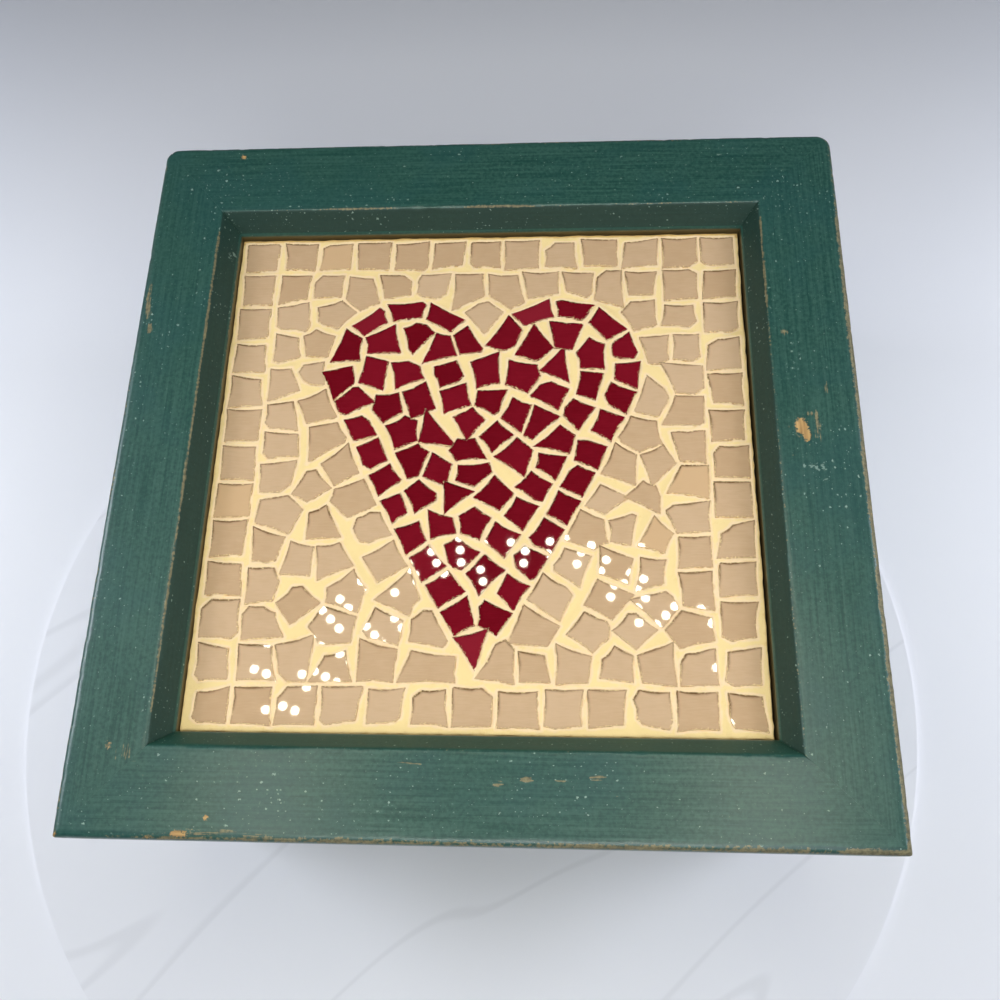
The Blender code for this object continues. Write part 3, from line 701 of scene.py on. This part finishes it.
def board_mesh(name, node, bare, seed):
    """A board in its node's box: round_rectangle carried along its longest level side.

    bare lists the directions, across and up, that its unpainted faces look in.
    """
    low, high = (np.array(corner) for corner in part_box(node))
    size, middle = high - low, (low + high) / 2
    length_axis = 0 if size[0] >= size[1] else 1
    width_axis = 1 - length_axis
    core, normal = round_rectangle(size[width_axis], size[2])
    turn = np.linspace(0.0, math.pi / 2, ROUND_POINTS)
    eased = BOARD_ROUND * (1 - np.cos(turn))
    reach = size[length_axis] / 2
    straight = np.linspace(-reach + BOARD_ROUND, reach - BOARD_ROUND, BOARD_STATIONS)[1:-1]
    along = np.concatenate((-reach + eased, straight, reach - eased[::-1]))
    drawn = DRAWN_IN * BOARD_ROUND * (1 - np.sin(turn))
    draw = np.concatenate((drawn, 0 * straight, drawn[::-1]))
    along, draw = along[:, None], draw[:, None]

    slant = np.clip(2.5 * np.minimum(*np.abs(normal).T), 0.0, 1.0)
    pressed = slant * dents(along + core.sum(axis=1), seed) * 0.8
    section = core + (BOARD_ROUND - draw - pressed)[:, :, None] * normal
    grid = np.empty((*section.shape[:2], 3))
    grid[:, :, length_axis] = middle[length_axis] + along
    grid[:, :, (width_axis, 2)] = middle[[width_axis, 2]] + section

    travel = travelled_round(core + BOARD_ROUND * normal)
    flow = np.stack(np.broadcast_arrays(along + seed, travel + seed), axis=-1)
    inside = np.abs(along) <= reach - CAP
    patchy = 0.40 + 0.25 * soft_noise(along, core[:, 1], 11 * MM, seed)
    wear = (slant + draw / BOARD_ROUND) * patchy * inside
    raw = np.clip((normal @ np.transpose(bare) - 0.9) / 0.1, 0.0, 1.0).max(axis=1)
    return tube_mesh(name, grid, flow, {"wear": wear, "raw": raw * inside})


BOARDS = (
    ("front_side", "front_board", ((1, 0),)),
    ("back_side", "back_board", ((-1, 0),)),
    ("left_side", "left_board", ((1, 0),)),
    ("right_side", "right_board", ((-1, 0),)),
    ("base", "bottom_board", ((0, 1), (0, -1))),
)
for number, (name, node, bare) in enumerate(BOARDS):
    add_piece(name, board_mesh(name, node, bare, 21 + number), PAINT, "green_paint", node)
print("body:", len(BOARDS), "boards")

# %% [markdown]
# ## Reading the tiles
#
# The solids of the heart and of the field hold one raised block for each tile. The outlines are read
# from their top faces: a side that belongs to one triangle only is on the rim of a tile, and such
# sides, followed from end to start, go round it.

# %% Tile outlines
ON_TOP = 0.02 * MM


def top_outlines(node):
    """The rim of each flat top in a node's mesh, as anticlockwise arrays of (x, y)."""
    mesh = nodes[node].data
    mesh.calc_loop_triangles()
    places = read(mesh.vertices, "co", 3, float)
    corners = read(mesh.loop_triangles, "vertices", 3, int)
    top = corners[(places[corners][:, :, 2] > places[:, 2].max() - ON_TOP).all(axis=1)]
    keys, joined = np.unique(np.round(places[:, :2] / (0.01 * MM)).astype(int), axis=0, return_inverse=True)
    top = joined.reshape(-1)[top]
    sides = np.concatenate((top[:, (0, 1)], top[:, (1, 2)], top[:, (2, 0)])).tolist()
    known = {tuple(each) for each in sides}
    after = {first: second for first, second in sides if (second, first) not in known}
    outlines = []
    while after:
        start = current = next(iter(after))
        loop = []
        while current in after:
            loop.append(current)
            current = after.pop(current)
        outlines.append(keys[loop] * 0.01 * MM)
    return outlines


def without_straight_corners(outline):
    """Drops points that lie on the straight line between their neighbours."""
    before, after = outline - np.roll(outline, 1, axis=0), np.roll(outline, -1, axis=0) - outline
    bend = before[:, 0] * after[:, 1] - before[:, 1] * after[:, 0]
    return outline[np.abs(bend) > 0.02 * np.hypot(*before.T) * np.hypot(*after.T)]


OUTLINES = {
    node: [without_straight_corners(each) for each in top_outlines(node)]
    for node in ("heart_tiles", "field_tiles")
}
print("tiles:", {node: len(each) for node, each in OUTLINES.items()})

# %% [markdown]
# ## Cutting the tiles
#
# Each tile was nipped from a sheet of glass by a few straight cuts, so most have four uneven corners
# and the joints between them widen into wedges. Nippers also take off a corner here and there, leave
# the sides slightly hollow, and chip the rim. The outline from the solid is grown a little to fill
# its place, and then cut in the same way. Rings of its points make the wall, the chipped rim and the
# flat top. A tile is pressed in by hand, so each leans its own way by about a degree, and that alone
# makes it catch the lamps differently from its neighbours. The heart's tiles are the more even ones.

# %% Nip an outline
TILE_GROWTH = 0.45 * MM
CORNER_COUNTS = (3, 4, 5)
COUNT_SHARES = (0.04, 0.68, 0.28)
LONGEST_MERGED = 5.5 * MM
MERGED_PUSH = 0.25
KEPT_AREA = 0.8
CORNERS_CUT = {3: 0.0, 4: 0.15}
CORNER_CUT = (0.7 * MM, 2.6 * MM)
LONGEST_STEP = 2.2 * MM
BOW = 0.35 * MM
NIP_DEPTH = 0.28 * MM
print("corners of a tile:", dict(zip(CORNER_COUNTS, COUNT_SHARES)))


def grown(outline, distance):
    """The outline with every side moved outwards by this much."""
    after = unit(np.roll(outline, -1, axis=0) - outline)
    before = np.roll(after, 1, axis=0)
    outwards = np.stack((after[:, 1] + before[:, 1], -after[:, 0] - before[:, 0]), axis=1)
    return outline + distance * outwards / (1 + (after * before).sum(axis=1))[:, None]


def area(outline):
    """Half the sum of the cross products of neighbouring corners."""
    ahead = np.roll(outline, -1, axis=0)
    return (outline[:, 0] * ahead[:, 1] - outline[:, 1] * ahead[:, 0]).sum() / 2


def fewer_corners(outline, rng):
    """The shortest side shrinks to one corner, again and again, down to a count drawn at random.

    At the end the tile is enlarged again, to win back most of the area that this took.
    """
    whole = area(outline)
    wanted = rng.choice(CORNER_COUNTS, p=COUNT_SHARES)
    while len(outline) > wanted:
        ahead = np.roll(outline, -1, axis=0)
        sides = ahead - outline
        lengths = np.hypot(*sides.T)
        first = int(np.argmin(lengths))
        if lengths[first] > LONGEST_MERGED:
            break
        outwards = np.array((sides[first, 1], -sides[first, 0]))
        outline = outline.copy()
        outline[first] = (outline[first] + ahead[first]) / 2 + MERGED_PUSH * outwards
        outline = np.delete(outline, (first + 1) % len(outline), axis=0)
    centre = outline.mean(axis=0)
    return centre + (outline - centre) * (whole / area(outline)) ** (KEPT_AREA / 2)


def cut_corners(outline, rng):
    """The outline with some of its corners replaced by a short side, up to a third of each side long."""
    points = []
    chance = CORNERS_CUT.get(len(outline), 0.05)
    for i, corner in enumerate(outline):
        sides = np.stack((outline[i - 1], outline[(i + 1) % len(outline)])) - corner
        lengths = np.hypot(*sides.T)
        cuts = np.minimum(rng.uniform(*CORNER_CUT, 2), lengths / 3) / lengths
        points += list(corner + sides * cuts[:, None]) if rng.random() < chance else [corner]
    return points


def nipped_rim(outline, uneven, rng):
    """Points round a tile: sides drawn in like shallow bows, and each point by a small chip more."""
    outline = fewer_corners(grown(outline, TILE_GROWTH), rng)
    towards = outline.mean(axis=0) - outline
    pulls = uneven * rng.beta(0.5, 3.0, (len(outline), 1)) / np.hypot(*towards.T)[:, None]
    corners = cut_corners(outline + towards * pulls, rng)
    rim = []
    for start, end in zip(corners, corners[1:] + corners[:1]):
        side = end - start
        length = math.hypot(*side)
        inwards = np.array((-side[1], side[0])) / length
        steps = max(1, round(length / LONGEST_STEP))
        share = (np.arange(steps) / steps)[:, None]
        bow = rng.uniform(-0.3, 1.0) * BOW * 4 * share * (1 - share)
        rim.append(start + side * share + inwards * np.maximum(bow, 0.0))
    rim = np.vstack(rim)
    inwards = unit(rim.mean(axis=0) - rim)
    return rim + inwards * NIP_DEPTH * rng.beta(1.0, 3.0, (len(rim), 1)), inwards


# %% Build the tiles
RIM = 0.10 * MM
RIM_DROP = 0.12 * MM
SHADE_BAND = 1.0 * MM
LEAN = math.radians(0.9)
SINK = 0.16 * MM
# Painted shade falls on the rims that face this way: towards the back and a little to the left.
SHADED_SIDE = np.array((-0.35, 0.94))
laid_tiles = []


def tile_rings(outline, uneven, rng):
    """Five rings of a tile from its foot to its middle, and the painted shade (above 0) and highlight (below
    0) on its rim.
    """
    rim, inwards = nipped_rim(outline, uneven, rng)
    centre = rim.mean(axis=0)
    lean = rng.normal(0.0, LEAN, 2)
    level = TILE_TOP - rng.uniform(0.0, SINK)
    laid_tiles.append((rim, centre, lean, level))

    insets = np.array((0.0, 0.0, RIM, SHADE_BAND))
    drops = np.array((level - TILE_BASE, RIM_DROP, 0.0, 0.0))
    places = rim + inwards * insets[:, None, None]
    places = np.concatenate((places, np.broadcast_to(centre, (1, *rim.shape))))
    tops = level + (places - centre) @ lean
    tops[:4] -= drops[:, None]
    grid = np.concatenate((places, tops[:, :, None]), axis=2)
    return grid, -(inwards @ SHADED_SIDE) * rng.uniform(0.5, 1.1)


def tiles_mesh(name, outlines, uneven, seed):
    """All the tiles of one colour as one mesh: their rings joined by quads, with a fan in the middle."""
    rng = np.random.default_rng(seed)
    points, faces, rims, shades_and_glints, tones = [], [], [], [], []
    total = 0
    for outline in outlines:
        grid, shade_and_glint = tile_rings(outline, uneven, rng)
        rings, count = grid.shape[:2]
        cells = quads(rings - 1, count, True)
        faces += (total + cells[:, :, 0] * count + cells[:, :, 1] % count)[:, ::-1].tolist()
        last, tip = total + (rings - 2) * count, total + (rings - 1) * count
        faces += [[last + i, last + (i + 1) % count, tip] for i in range(count)]
        points.append(np.vstack((grid[:-1].reshape(-1, 3), grid[-1, :1])))
        rims.append(np.repeat((1.0, 0.0), (3 * count, count + 1)))
        shades_and_glints.append(np.append(np.tile(shade_and_glint, rings - 1), 0.0))
        tones.append(np.full(tip + 1 - total, rng.uniform()))
        total = tip + 1
    mesh = bpy.data.meshes.new(name)
    mesh.from_pydata(np.vstack(points).tolist(), [], faces)
    values = {"rim": rims, "shade_and_glint": shades_and_glints, "tone": tones}
    carry(mesh, {label: np.concatenate(numbers) for label, numbers in values.items()})
    return mesh


# %% [markdown]
# ## Glass
#
# The tiles are clear glass with colour on the back. Light reflects from the top face as from a
# mirror, while the colour below is matt and even. That is a Principled shader with a full clear coat:
# the coat is smooth, so lamps show in it as sharp dots, and the colour under it stays dull.
#
# The rims towards the back and the left carry a thin dark line and a band of painted shade, standing
# for the grout's wall seen through the glass, and those towards the front a faint painted highlight.
# Crumbs of grout stick to the rim.

# %% Glass finishes


def glass(name, deep, pale, odd, line, seed):
    """Coloured glass under a clear coat. odd: a few tiles' tone and the painted rim highlight. line: painted
    rim shade.
    """
    finish = Finish(name, pale)
    place = finish.place()
    tone, rim, shade_and_glint = finish.value("tone"), finish.value("rim"), finish.value("shade_and_glint")
    moved = finish.stretch(place, (1.0, 1.0 + 0.1 * seed, 1.0))
    streaks = finish.noise(finish.stretch(moved, (0.12, 1.0, 1.0)), 0.4 * MM, 2.0)
    clouds = finish.noise(moved, 3.0 * MM, 2.0)
    crumbs = finish.noise(moved, 0.3 * MM, 2.0, 0.6)
    colour = finish.mix((tone * 0.5 + clouds * 0.35 + streaks * 0.4).rise(0.25, 1.0), deep, pale)
    colour = finish.mix(tone.rise(0.965, 0.97) * 0.6, colour, odd)
    # Painted shade and painted highlight on the rims: a dark line and band on the far rims, a faint light
    # line on the near ones.
    far_shade, near = shade_and_glint.larger(0.0), (0.0 - shade_and_glint).larger(0.0)
    ragged = rim + (crumbs - 0.5) * 0.5
    colour = finish.mix(ragged.rise(0.0, 0.7) * far_shade * 0.5, colour, line)
    colour = finish.mix(ragged.rise(0.48, 0.72) * (far_shade * 0.85 + 0.15), colour, line)
    colour = finish.mix(ragged.rise(0.55, 0.7) * ragged.rise(0.85, 0.7) * near * 0.35, colour, odd)
    smear = (rim + (crumbs - 0.5) * 2.6).rise(0.98, 1.12)
    colour = finish.mix(smear, colour, screen(242, 218, 166))
    return finish.set(
        Base_Color=colour,
        Roughness=0.6,
        Specular_IOR_Level=0.0,
        Coat_Weight=1 - smear,
        Coat_Roughness=0.025,
        Coat_IOR=1.5,
    )


# Each row is a part of the picture, its slot, how far its corners may be pulled in, a seed, and the
# four colours that glass() takes.
GLASS = (
    # The fourth colour is that of the painted shade line on the rims.
    ("heart", "red_glass", 1.4 * MM, 1, ((108, 5, 20), (128, 16, 33), (142, 34, 48), (58, 0, 8))),
    ("field", "beige_glass", 3.2 * MM, 2, ((200, 167, 130), (214, 183, 148), (218, 180, 134), (108, 78, 46))),
)
for part, slot, uneven, seed, colours in GLASS:
    mesh = tiles_mesh(part + "_glass", OUTLINES[part + "_tiles"], uneven, 40 + seed)
    finish = glass(slot, *(screen(*colour) for colour in colours), seed)
    add_piece(part + "_glass", mesh, finish, slot, part + "_tiles")
    print(mesh.name, len(mesh.polygons), "faces")

# %% [markdown]
# ## Grout
#
# The grout was wiped level with the glass while wet, so it sinks a little between the tiles and
# clings to their rims. It is a height field: a grid over the slab, with a height at each point. The
# height depends on the distance to the nearest tile, which is found tile by tile in a small window,
# and on the planes of the tiles around, each counted less the farther away it is.

# %% Distance to the nearest tile
GROUT_STEPS = (311, 306)
BLEND = 0.4 * MM
SLIT = {"front": 0.1 * MM, "right": 0.5 * MM, "back": 0.3 * MM, "left": 0.1 * MM}
slab_low, slab_high = (np.array(corner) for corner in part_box("grout"))
slab_low[:2] = LIP["left"] + SLIT["left"], LIP["front"] + SLIT["front"]
slab_high[:2] = LIP["right"] - SLIT["right"], LIP["back"] - SLIT["back"]


def outline_distance(outline, x, y):
    """The distance to the nearest side of an outline, negative inside it."""
    sides = np.roll(outline, -1, axis=0) - outline
    from_x, from_y = x[..., None] - outline[:, 0], y[..., None] - outline[:, 1]
    share = (from_x * sides[:, 0] + from_y * sides[:, 1]) / (sides**2).sum(axis=1)
    share = np.clip(share, 0.0, 1.0)
    away = np.hypot(from_x - share * sides[:, 0], from_y - share * sides[:, 1]).min(axis=-1)
    spans = (from_y < 0) != (from_y < sides[:, 1])
    left_of = from_x * sides[:, 1] < from_y * sides[:, 0]
    crossed = (spans & (left_of == (sides[:, 1] > 0))).sum(axis=-1)
    return np.where(crossed % 2 == 1, -away, away)


def nearest_tile(x, y, reach):
    """For each grid point, the distance to the nearest tile and the blended height of the tiles' tops."""
    distance = np.full(x.shape, reach)
    weight = np.full(x.shape, 1e-4)
    level = weight * (TILE_TOP - SINK / 2)
    for rim, centre, lean, top in laid_tiles:
        low, high = rim.min(axis=0) - reach, rim.max(axis=0) + reach
        window = (
            slice(*np.searchsorted(x[:, 0], (low[0], high[0]))),
            slice(*np.searchsorted(y[0], (low[1], high[1]))),
        )
        away = outline_distance(rim, x[window], y[window])
        share = np.exp(-np.maximum(away, 0.0) / BLEND)
        plane = top + (x[window] - centre[0]) * lean[0] + (y[window] - centre[1]) * lean[1]
        distance[window] = np.minimum(distance[window], away)
        weight[window] += share
        level[window] += share * plane
    return distance, level / weight


# %% [markdown]
# The slab's own edge is broken and stands a little away from the frame, which leaves a dark slit. The
# sides and the underside close the height field, so that it is a solid slab.

# %% Build the grout
CLING = 0.20 * MM
HOLLOW = 0.24 * MM
EDGE_RAGGED = 0.25 * MM
MARGIN = 1.3 * MM
PITS = 0.7 * MM
UNDER_GLASS = 0.9 * MM
EDGE_DROP = 0.15 * MM


def height_over_slab(x, y, to_edge):
    """The grout's height, and the distance to the nearest tile that it comes from."""
    distance, level = nearest_tile(x, y, 3 * MM)
    sunk = HOLLOW * (1 - np.exp(-np.maximum(distance, 0.0) / (0.5 * MM)))
    top = level + 0.02 * MM - sunk
    top += 0.04 * MM * soft_noise(x, y, 2.6 * MM, 52) + 0.03 * MM * soft_noise(x, y, 0.9 * MM, 53)
    top -= PITS * np.clip(soft_noise(x, y, 1.1 * MM, 54) - 0.78, 0.0, 1.0)
    ragged = distance + CLING * soft_noise(x, y, 0.7 * MM, 51)
    top -= UNDER_GLASS * np.clip(-ragged / (0.25 * MM), 0.0, 1.0)
    top -= EDGE_DROP * np.clip(1 - to_edge / (0.9 * MM), 0.0, 1.0) ** 2
    return np.minimum(top, slab_high[2]), distance


def grout_mesh():
    """The height field over the slab, its four walls and its flat underside."""
    line_x = np.linspace(slab_low[0], slab_high[0], GROUT_STEPS[0])
    line_y = np.linspace(slab_low[1], slab_high[1], GROUT_STEPS[1])
    x, y = np.meshgrid(line_x, line_y, indexing="ij")
    sides = (x - slab_low[0], slab_high[0] - x, y - slab_low[1], slab_high[1] - y)
    to_edge = np.minimum.reduce(sides)
    top, distance = height_over_slab(x, y, to_edge)
    left, right, front, back = (side < 1e-9 for side in sides)
    inset = EDGE_RAGGED * (0.5 + 0.5 * soft_noise(x, y, 1.7 * MM, 55))
    field = np.stack((x + inset * (left * 1.0 - right), y + inset * (front * 1.0 - back), top), axis=-1)

    rows, columns = x.shape
    cells = quads(rows, columns, False)
    faces = cells[:, :, 0] * columns + cells[:, :, 1]
    index = np.arange(rows * columns).reshape(rows, columns)
    rim = np.concatenate((index[:-1, 0], index[-1, :-1], index[:0:-1, -1], index[0, :0:-1]))
    foot = field.reshape(-1, 3)[rim]
    foot[:, 2] = slab_low[2]
    points = np.vstack((field.reshape(-1, 3), foot))
    below = rows * columns + np.arange(len(rim))
    walls = np.stack((rim, below, np.roll(below, -1), np.roll(rim, -1)), axis=1)
    mesh = bpy.data.meshes.new("grout_bed")
    mesh.from_pydata(points.tolist(), [], faces.tolist() + walls.tolist() + [below[::-1].tolist()])
    stained = np.clip(1 - to_edge / MARGIN, 0.0, 1.0) * np.where(sides[3] < MARGIN, 1.2, 0.4)
    values = {"margin": stained, "open": np.clip(distance / MM, 0.0, 1.0)}
    walled = np.ones(len(rim))
    carry(mesh, {label: np.append(numbers.ravel(), walled) for label, numbers in values.items()})
    mesh.shade_smooth()
    return mesh


def cream_grout():
    """Sanded cream grout: fine grains, yellower where it is wide, and a tan stain along the frame."""
    grout = Finish("grout", screen(245, 222, 160))
    place = grout.place()
    grains, blots = grout.noise(place, 0.3 * MM, 2.0, 0.7), grout.noise(place, 2.2 * MM, 3.0, 0.6)
    wide = (grout.value("open") + (blots - 0.5) * 1.2).rise(0.15, 0.85)
    colour = grout.mix(wide, screen(250, 223, 182), screen(248, 222, 160))
    colour = grout.mix((blots * 0.6 + grains * 0.4).rise(0.54, 0.74) * 0.35, colour, screen(232, 196, 122))
    stain = (grout.value("margin") + (blots - 0.5) * 0.9).rise(0.2, 0.8)
    colour = grout.mix(stain * 0.75, colour, screen(216, 172, 98))
    return grout.set(
        Base_Color=colour,
        Roughness=0.85,
        Specular_IOR_Level=0.25,
        Normal=grout.bump(grains, 0.05 * MM, 0.8),
    )


mesh = grout_mesh()
add_piece("grout_bed", mesh, cream_grout(), "grout", "grout")
print("grout:", len(mesh.polygons), "faces")

# %% [markdown]
# ## The panel under the mosaic
#
# Only a dark slit shows between the grout and the frame. The panel is flat and plain, so its solid
# stays and takes a new finish in its slot: wood that glue and dust have stained dark, darkened more
# as painted shade for the slit.

# %% Stained wood on the panel, with painted shade


def slit_shaded_wood():
    """Dark brown with a fine grain along the panel: stain, and painted shade for the slit."""
    wood = Finish("bare_wood", screen(40, 30, 16))
    grain = wood.noise(wood.stretch(wood.place(), (0.06, 1.0, 1.0)), 0.7 * MM, 4.0, 0.6)
    return wood.set(
        Base_Color=wood.mix(grain.rise(0.3, 0.7), screen(46, 35, 18), screen(84, 66, 38)),
        Roughness=0.75,
        Normal=wood.bump(grain, 0.05 * MM),
    )


nodes["mosaic_panel"].data.materials.clear()
nodes["mosaic_panel"].data.materials.append(slit_shaded_wood())
panel_low, panel_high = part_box("mosaic_panel")
print("panel:", [round(size / MM, 1) for size in panel_high - panel_low], "mm")

# %% [markdown]
# ## Floor and light
#
# The box stands on a round white plate with faint veins, off its middle, and the plate lies on a
# pale floor. Round the camera hangs a ring of small round lamps in three rows, twelve millimetres
# apart along the ring. It lights the lid from above, and each tile that leans the right way shows two
# or three of its lamps as bright dots. The ring is one mesh of small discs with an emission shader,
# and cameras don't see it directly. A wide soft light above the front edge fills in, and two low ones
# at the sides brighten the floor. No level surface mirrors any of the three to the camera, so the red
# glass stays deep.

# %% Plate and floor
FLOOR_HALF = 3.0
PLATE_CENTRE = (-11 * MM, -44 * MM)
PLATE_RADIUS = 132 * MM
PLATE_THICKNESS = 1.5 * MM
PLATE_SIDES = 256
VEINS_TURNED = math.radians(-41)


def veined_plate():
    """White with a few thin grey veins: where noise drawn out along one line crosses its middle value."""
    plate = Finish("white_plate", screen(230, 231, 235))
    sockets = {"Vector": plate.place(), "Rotation": (0, 0, VEINS_TURNED)}
    turned = plate.node("ShaderNodeMapping", None, sockets)
    clouds = plate.noise(plate.stretch(turned, (0.15, 1.0, 1.0)), 60 * MM, 2.0, 0.4)
    middle = clouds - 0.5
    vein = middle.math("ABSOLUTE", middle).rise(0.007, 0.001)
    colour = plate.mix(vein * 0.09, screen(230, 231, 235), screen(120, 120, 124))
    return plate.set(Base_Color=colour, Roughness=0.5, Specular_IOR_Level=0.3)


def pale_floor():
    """A pale sheet with painted shade: darker in the middle and towards the back, whiter at the sides."""
    floor = Finish("floor", screen(240, 242, 247))
    place = floor.node("ShaderNodeSeparateXYZ", None, {"Vector": floor.place()})
    aside = place.math("ABSOLUTE", place)
    # Painted shade: the middle and the back of the floor are mixed towards a darker grey.
    middle = aside.rise(0.30, 0.12).larger(place.beside("Y").rise(0.16, 0.30))
    colour = floor.mix(middle, screen(248, 250, 255), screen(234, 235, 239))
    return floor.set(Base_Color=colour, Roughness=0.6, Specular_IOR_Level=0.2)


bpy.ops.mesh.primitive_cylinder_add(
    vertices=PLATE_SIDES,
    radius=PLATE_RADIUS,
    depth=PLATE_THICKNESS,
    location=(*PLATE_CENTRE, -PLATE_THICKNESS / 2),
)
plate = bpy.context.object
plate.name = "plate"
plate.data.materials.append(veined_plate())
bpy.ops.mesh.primitive_plane_add(size=2 * FLOOR_HALF, location=(0, 0, -PLATE_THICKNESS))
floor = bpy.context.object
floor.name = "floor"
floor.data.materials.append(pale_floor())
print("plate:", round(2 * PLATE_RADIUS / MM), "mm across")

# %% Ring of lamps
RING_CENTRE = (-2 * MM, -66 * MM, LID_TOP + 210 * MM)
RING_RADII = (101.8 * MM, 107.8 * MM, 113.8 * MM)
LAMPS_IN_ROW = 56
LAMP_SIZE = 3.8 * MM
LAMP_SIDES = 12
LAMP_STRENGTH = 64.0


def circle(radius, count, way):
    """Points evenly round a circle about (0, 0): anticlockwise for way 1, and clockwise for -1."""
    turn = way * np.arange(count) * 2 * math.pi / count
    return radius * np.column_stack((np.cos(turn), np.sin(turn)))


# Seen from above, each disc runs clockwise, so that it faces down.
centres = np.vstack([circle(radius, LAMPS_IN_ROW, 1) for radius in RING_RADII])
places = (centres[:, None] + circle(LAMP_SIZE / 2, LAMP_SIDES, -1)).reshape(-1, 2)
lamp_points = np.column_stack((places, np.zeros(len(places)))) + RING_CENTRE
ring_mesh = bpy.data.meshes.new("lamp_ring")
lamp_corners = np.arange(len(lamp_points)).reshape(-1, LAMP_SIDES)
ring_mesh.from_pydata(lamp_points.tolist(), [], lamp_corners.tolist())
lamp_finish = Finish("lamp", (1.0, 1.0, 1.0, 1.0)).set(
    Base_Color=(0.0, 0.0, 0.0, 1.0),
    Emission_Color=screen(255, 251, 228),
    Emission_Strength=LAMP_STRENGTH,
)
ring_mesh.materials.append(lamp_finish)
ring = add_object("lamp_ring", ring_mesh)
ring.visible_camera = False
ring.visible_shadow = False
print("ring:", len(ring_mesh.polygons), "lamps")

# %% Soft lights in front and at the sides
FRONT_LIGHT = (0.08, -0.55, 0.91)
FRONT_SIZE = 0.6
FRONT_POWER = 3.6
SIDE_LIGHT = (0.62, 0.10, 0.42)
SIDE_TARGET = 0.24
SIDE_SIZE = 0.3
SIDE_POWER = 0.38
SIDE_SPREAD = math.radians(50)


def soft_light(name, place, target, size, power):
    """A square area light at a place in the scene, turned towards a target."""
    light = bpy.data.lights.new(name, "AREA")
    light.size = size
    light.energy = power
    light.color = screen(238, 243, 255)[:3]
    lamp = add_object(name, light)
    lamp.location = place
    lamp.rotation_euler = (Vector(place) - Vector(target)).to_track_quat("Z", "Y").to_euler()
    return light


soft_light("front light", FRONT_LIGHT, (0.0, 0.0, LID_TOP), FRONT_SIZE, FRONT_POWER)
for side, sign in (("left", -1), ("right", 1)):
    place = (sign * SIDE_LIGHT[0], *SIDE_LIGHT[1:])
    pool = soft_light(side + " light", place, (sign * SIDE_TARGET, 0.0, 0.0), SIDE_SIZE, SIDE_POWER)
    pool.spread = SIDE_SPREAD
print("soft lights:", len(bpy.data.lights))

# %% Faint light all round, and plain colours on screen
WORLD_COLOUR = screen(206, 216, 236)
WORLD_STRENGTH = 0.08

world = bpy.data.worlds.new("faint light")
world.use_nodes = True
background = world.node_tree.nodes["Background"].inputs
background["Color"].default_value = WORLD_COLOUR
background["Strength"].default_value = WORLD_STRENGTH
bpy.context.scene.world = world
bpy.context.scene.view_settings.view_transform = "Standard"
